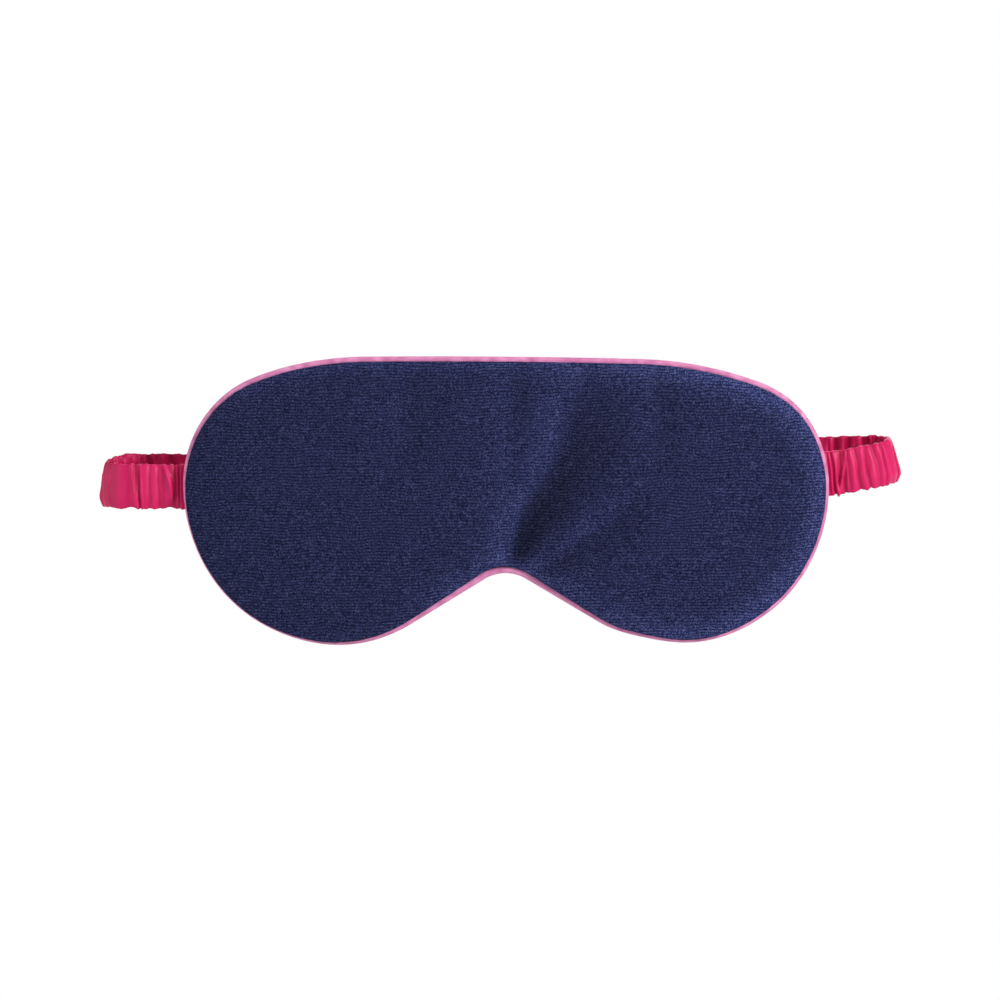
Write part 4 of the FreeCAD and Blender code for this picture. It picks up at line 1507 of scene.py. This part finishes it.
# ------------------------------------------------------------------ studio
@dataclass
class Studio:
    """Pale floor, soft lamps, white surroundings and the camera."""

    distance: float = 1.1
    view_width: float = 0.328
    elevation: float = 5.0
    aim: tuple[float, float, float] = (-0.0018, -0.004, 0.0)
    sensor: float = 36.0
    floor_size: float = 3.0
    floor_drop: float = 0.06
    ambient: float = 0.26

    def build(self) -> None:
        """Builds the floor, the lamps, the world and the camera."""
        scene = bpy.context.scene
        scene.view_settings.view_transform = "Standard"
        self.build_floor()
        self.build_lamps()
        self.build_world()
        tilt = math.radians(self.elevation)
        aim = Vector(self.aim)
        spot = aim + Vector((0.0, -math.cos(tilt), math.sin(tilt))) * self.distance
        data = bpy.data.cameras.new("camera")
        data.sensor_width = self.sensor
        data.lens = self.sensor * self.distance / self.view_width
        camera = placed("camera", data)
        camera.location = spot
        camera.rotation_euler = (aim - spot).to_track_quat("-Z", "Y").to_euler()
        scene.camera = camera

    @staticmethod
    def white_to_camera(tree: bpy.types.NodeTree, seen: bpy.types.NodeSocket) -> bpy.types.Node:
        """Mixes a surface with plain white for camera, glossy and transmission rays.

        Args:
            tree: the node tree.
            seen: the surface that lights the object.

        Returns:
            The mixing node.
        """
        rays = add_node(tree, "ShaderNodeLightPath")
        direct = rays.outputs["Is Camera Ray"]
        for kind in ("Is Glossy Ray", "Is Transmission Ray"):
            either = {0: direct, 1: rays.outputs[kind]}
            node = add_node(tree, "ShaderNodeMath", {"operation": "MAXIMUM"}, links=either)
            direct = node.outputs["Value"]
        white = add_node(tree, "ShaderNodeEmission", values={"Color": WHITE, "Strength": 1.0})
        links = {0: direct, 1: seen, 2: white.outputs["Emission"]}
        return add_node(tree, "ShaderNodeMixShader", links=links)

    def build_floor(self) -> None:
        """A pale floor below the hanging mask."""
        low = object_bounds()[0]
        body = bmesh.new()
        bmesh.ops.create_grid(body, x_segments=1, y_segments=1, size=self.floor_size)
        bmesh.ops.translate(body, verts=body.verts, vec=(0.0, 0.0, low[2] - self.floor_drop))
        mesh = bpy.data.meshes.new("floor")
        body.to_mesh(mesh)
        body.free()
        floor = placed("floor", mesh)
        material = bpy.data.materials.new("studio_paper")
        tree = empty_tree(material)
        values = {"Color": PAPER, "Roughness": 1.0}
        paper = add_node(tree, "ShaderNodeBsdfDiffuse", values=values)
        mixed = self.white_to_camera(tree, paper.outputs["BSDF"])
        add_node(tree, "ShaderNodeOutputMaterial", links={"Surface": mixed.outputs["Shader"]})
        mesh.materials.append(material)
        floor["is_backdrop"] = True

    def build_lamps(self) -> None:
        """A key lamp from the upper right and weak fills, so that creases and gathers model well."""
        lamps = (
            ("key", (0.9, -0.88, 0.48), 0.5, 13.5),
            ("side", (-1.05, -0.4, 0.25), 1.6, 6.5),
            ("under", (0.1, -0.9, -0.6), 0.8, 14.0),
            ("top", (0.0, 0.1, 1.1), 0.8, 2.0),
            ("back", (0.3, 1.1, 0.35), 1.2, 7.0),
        )
        for name, place, size, power in lamps:
            data = bpy.data.lights.new(name, "AREA")
            data.shape = "DISK"
            data.size = size
            data.energy = power
            lamp = placed(name, data)
            lamp.location = place
            lamp.rotation_euler = (-Vector(place)).to_track_quat("-Z", "Y").to_euler()

    def build_world(self) -> None:
        """White to the camera, soft grey light to the object."""
        world = bpy.data.worlds.new("surroundings")
        tree = empty_tree(world)
        rays = add_node(tree, "ShaderNodeLightPath")
        skies = [
            add_node(tree, "ShaderNodeBackground", values={"Color": WHITE, "Strength": strength})
            for strength in (self.ambient, 1.0)
        ]
        links = {0: rays.outputs["Is Camera Ray"]}
        links.update({index: sky.outputs["Background"] for index, sky in enumerate(skies, 1)})
        mixed = add_node(tree, "ShaderNodeMixShader", links=links)
        add_node(tree, "ShaderNodeOutputWorld", links={"Surface": mixed.outputs["Shader"]})
        bpy.context.scene.world = world


def main() -> None:
    """Builds the mask in the order in which it is sewn."""
    logging.basicConfig(level=logging.INFO, format="%(message)s")
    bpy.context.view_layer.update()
    Studio().build()
    edge = SewnEdge()
    velour = VelourFinish().build()
    # Each satin runs from its deep to its pale colour with the stored fold value, painted shade: deep in
    # the valleys of the strap's gathers and the piping's puckers and on the strap's inner wall, pale on
    # their ridges; the back panel has no such value and stays near the deep colour.
    pink = SatinFinish("polyester_satin_light_pink", "#BE5A8E", "#EE9CCA", roughness=0.42).build()
    hot = SatinFinish("polyester_satin_hot_pink", "#9A0036", "#DF2369", roughness=0.40).build()
    lining = PlainClothFinish("woven_blackout_lining", "#101014", "#222228").build()
    fleece = PlainClothFinish("spun_polyester_wadding", "#E4E2DC", "#FBFAF6", 0.8 * MM).build()
    cotton = PlainClothFinish("twisted_cotton_cord", "#D8D3C6", "#F2EEE4", 0.4 * MM).build()
    thread = PlainClothFinish("polyester_sewing_thread", "#1D2040", "#363A66", 0.3 * MM).build()
    rubber = PlainClothFinish("braided_elastic", "#D9D4CA", "#F4F1EA", 0.5 * MM).build()
    for name, material in (
        ("blackout_lining", lining),
        ("edge_seam", thread),
    ):
        node_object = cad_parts[name]
        node_object.data.materials.clear()
        node_object.data.materials.append(material)
    pad = Pad(edge)
    pad.build_front(velour)
    pad.build_wadding(fleece)
    pad.build_back(pink)
    Piping(edge).build(pink, cotton)
    Strap(Casing(StrapRoute())).build(hot, rubber)


if __name__ == "__main__":
    main()
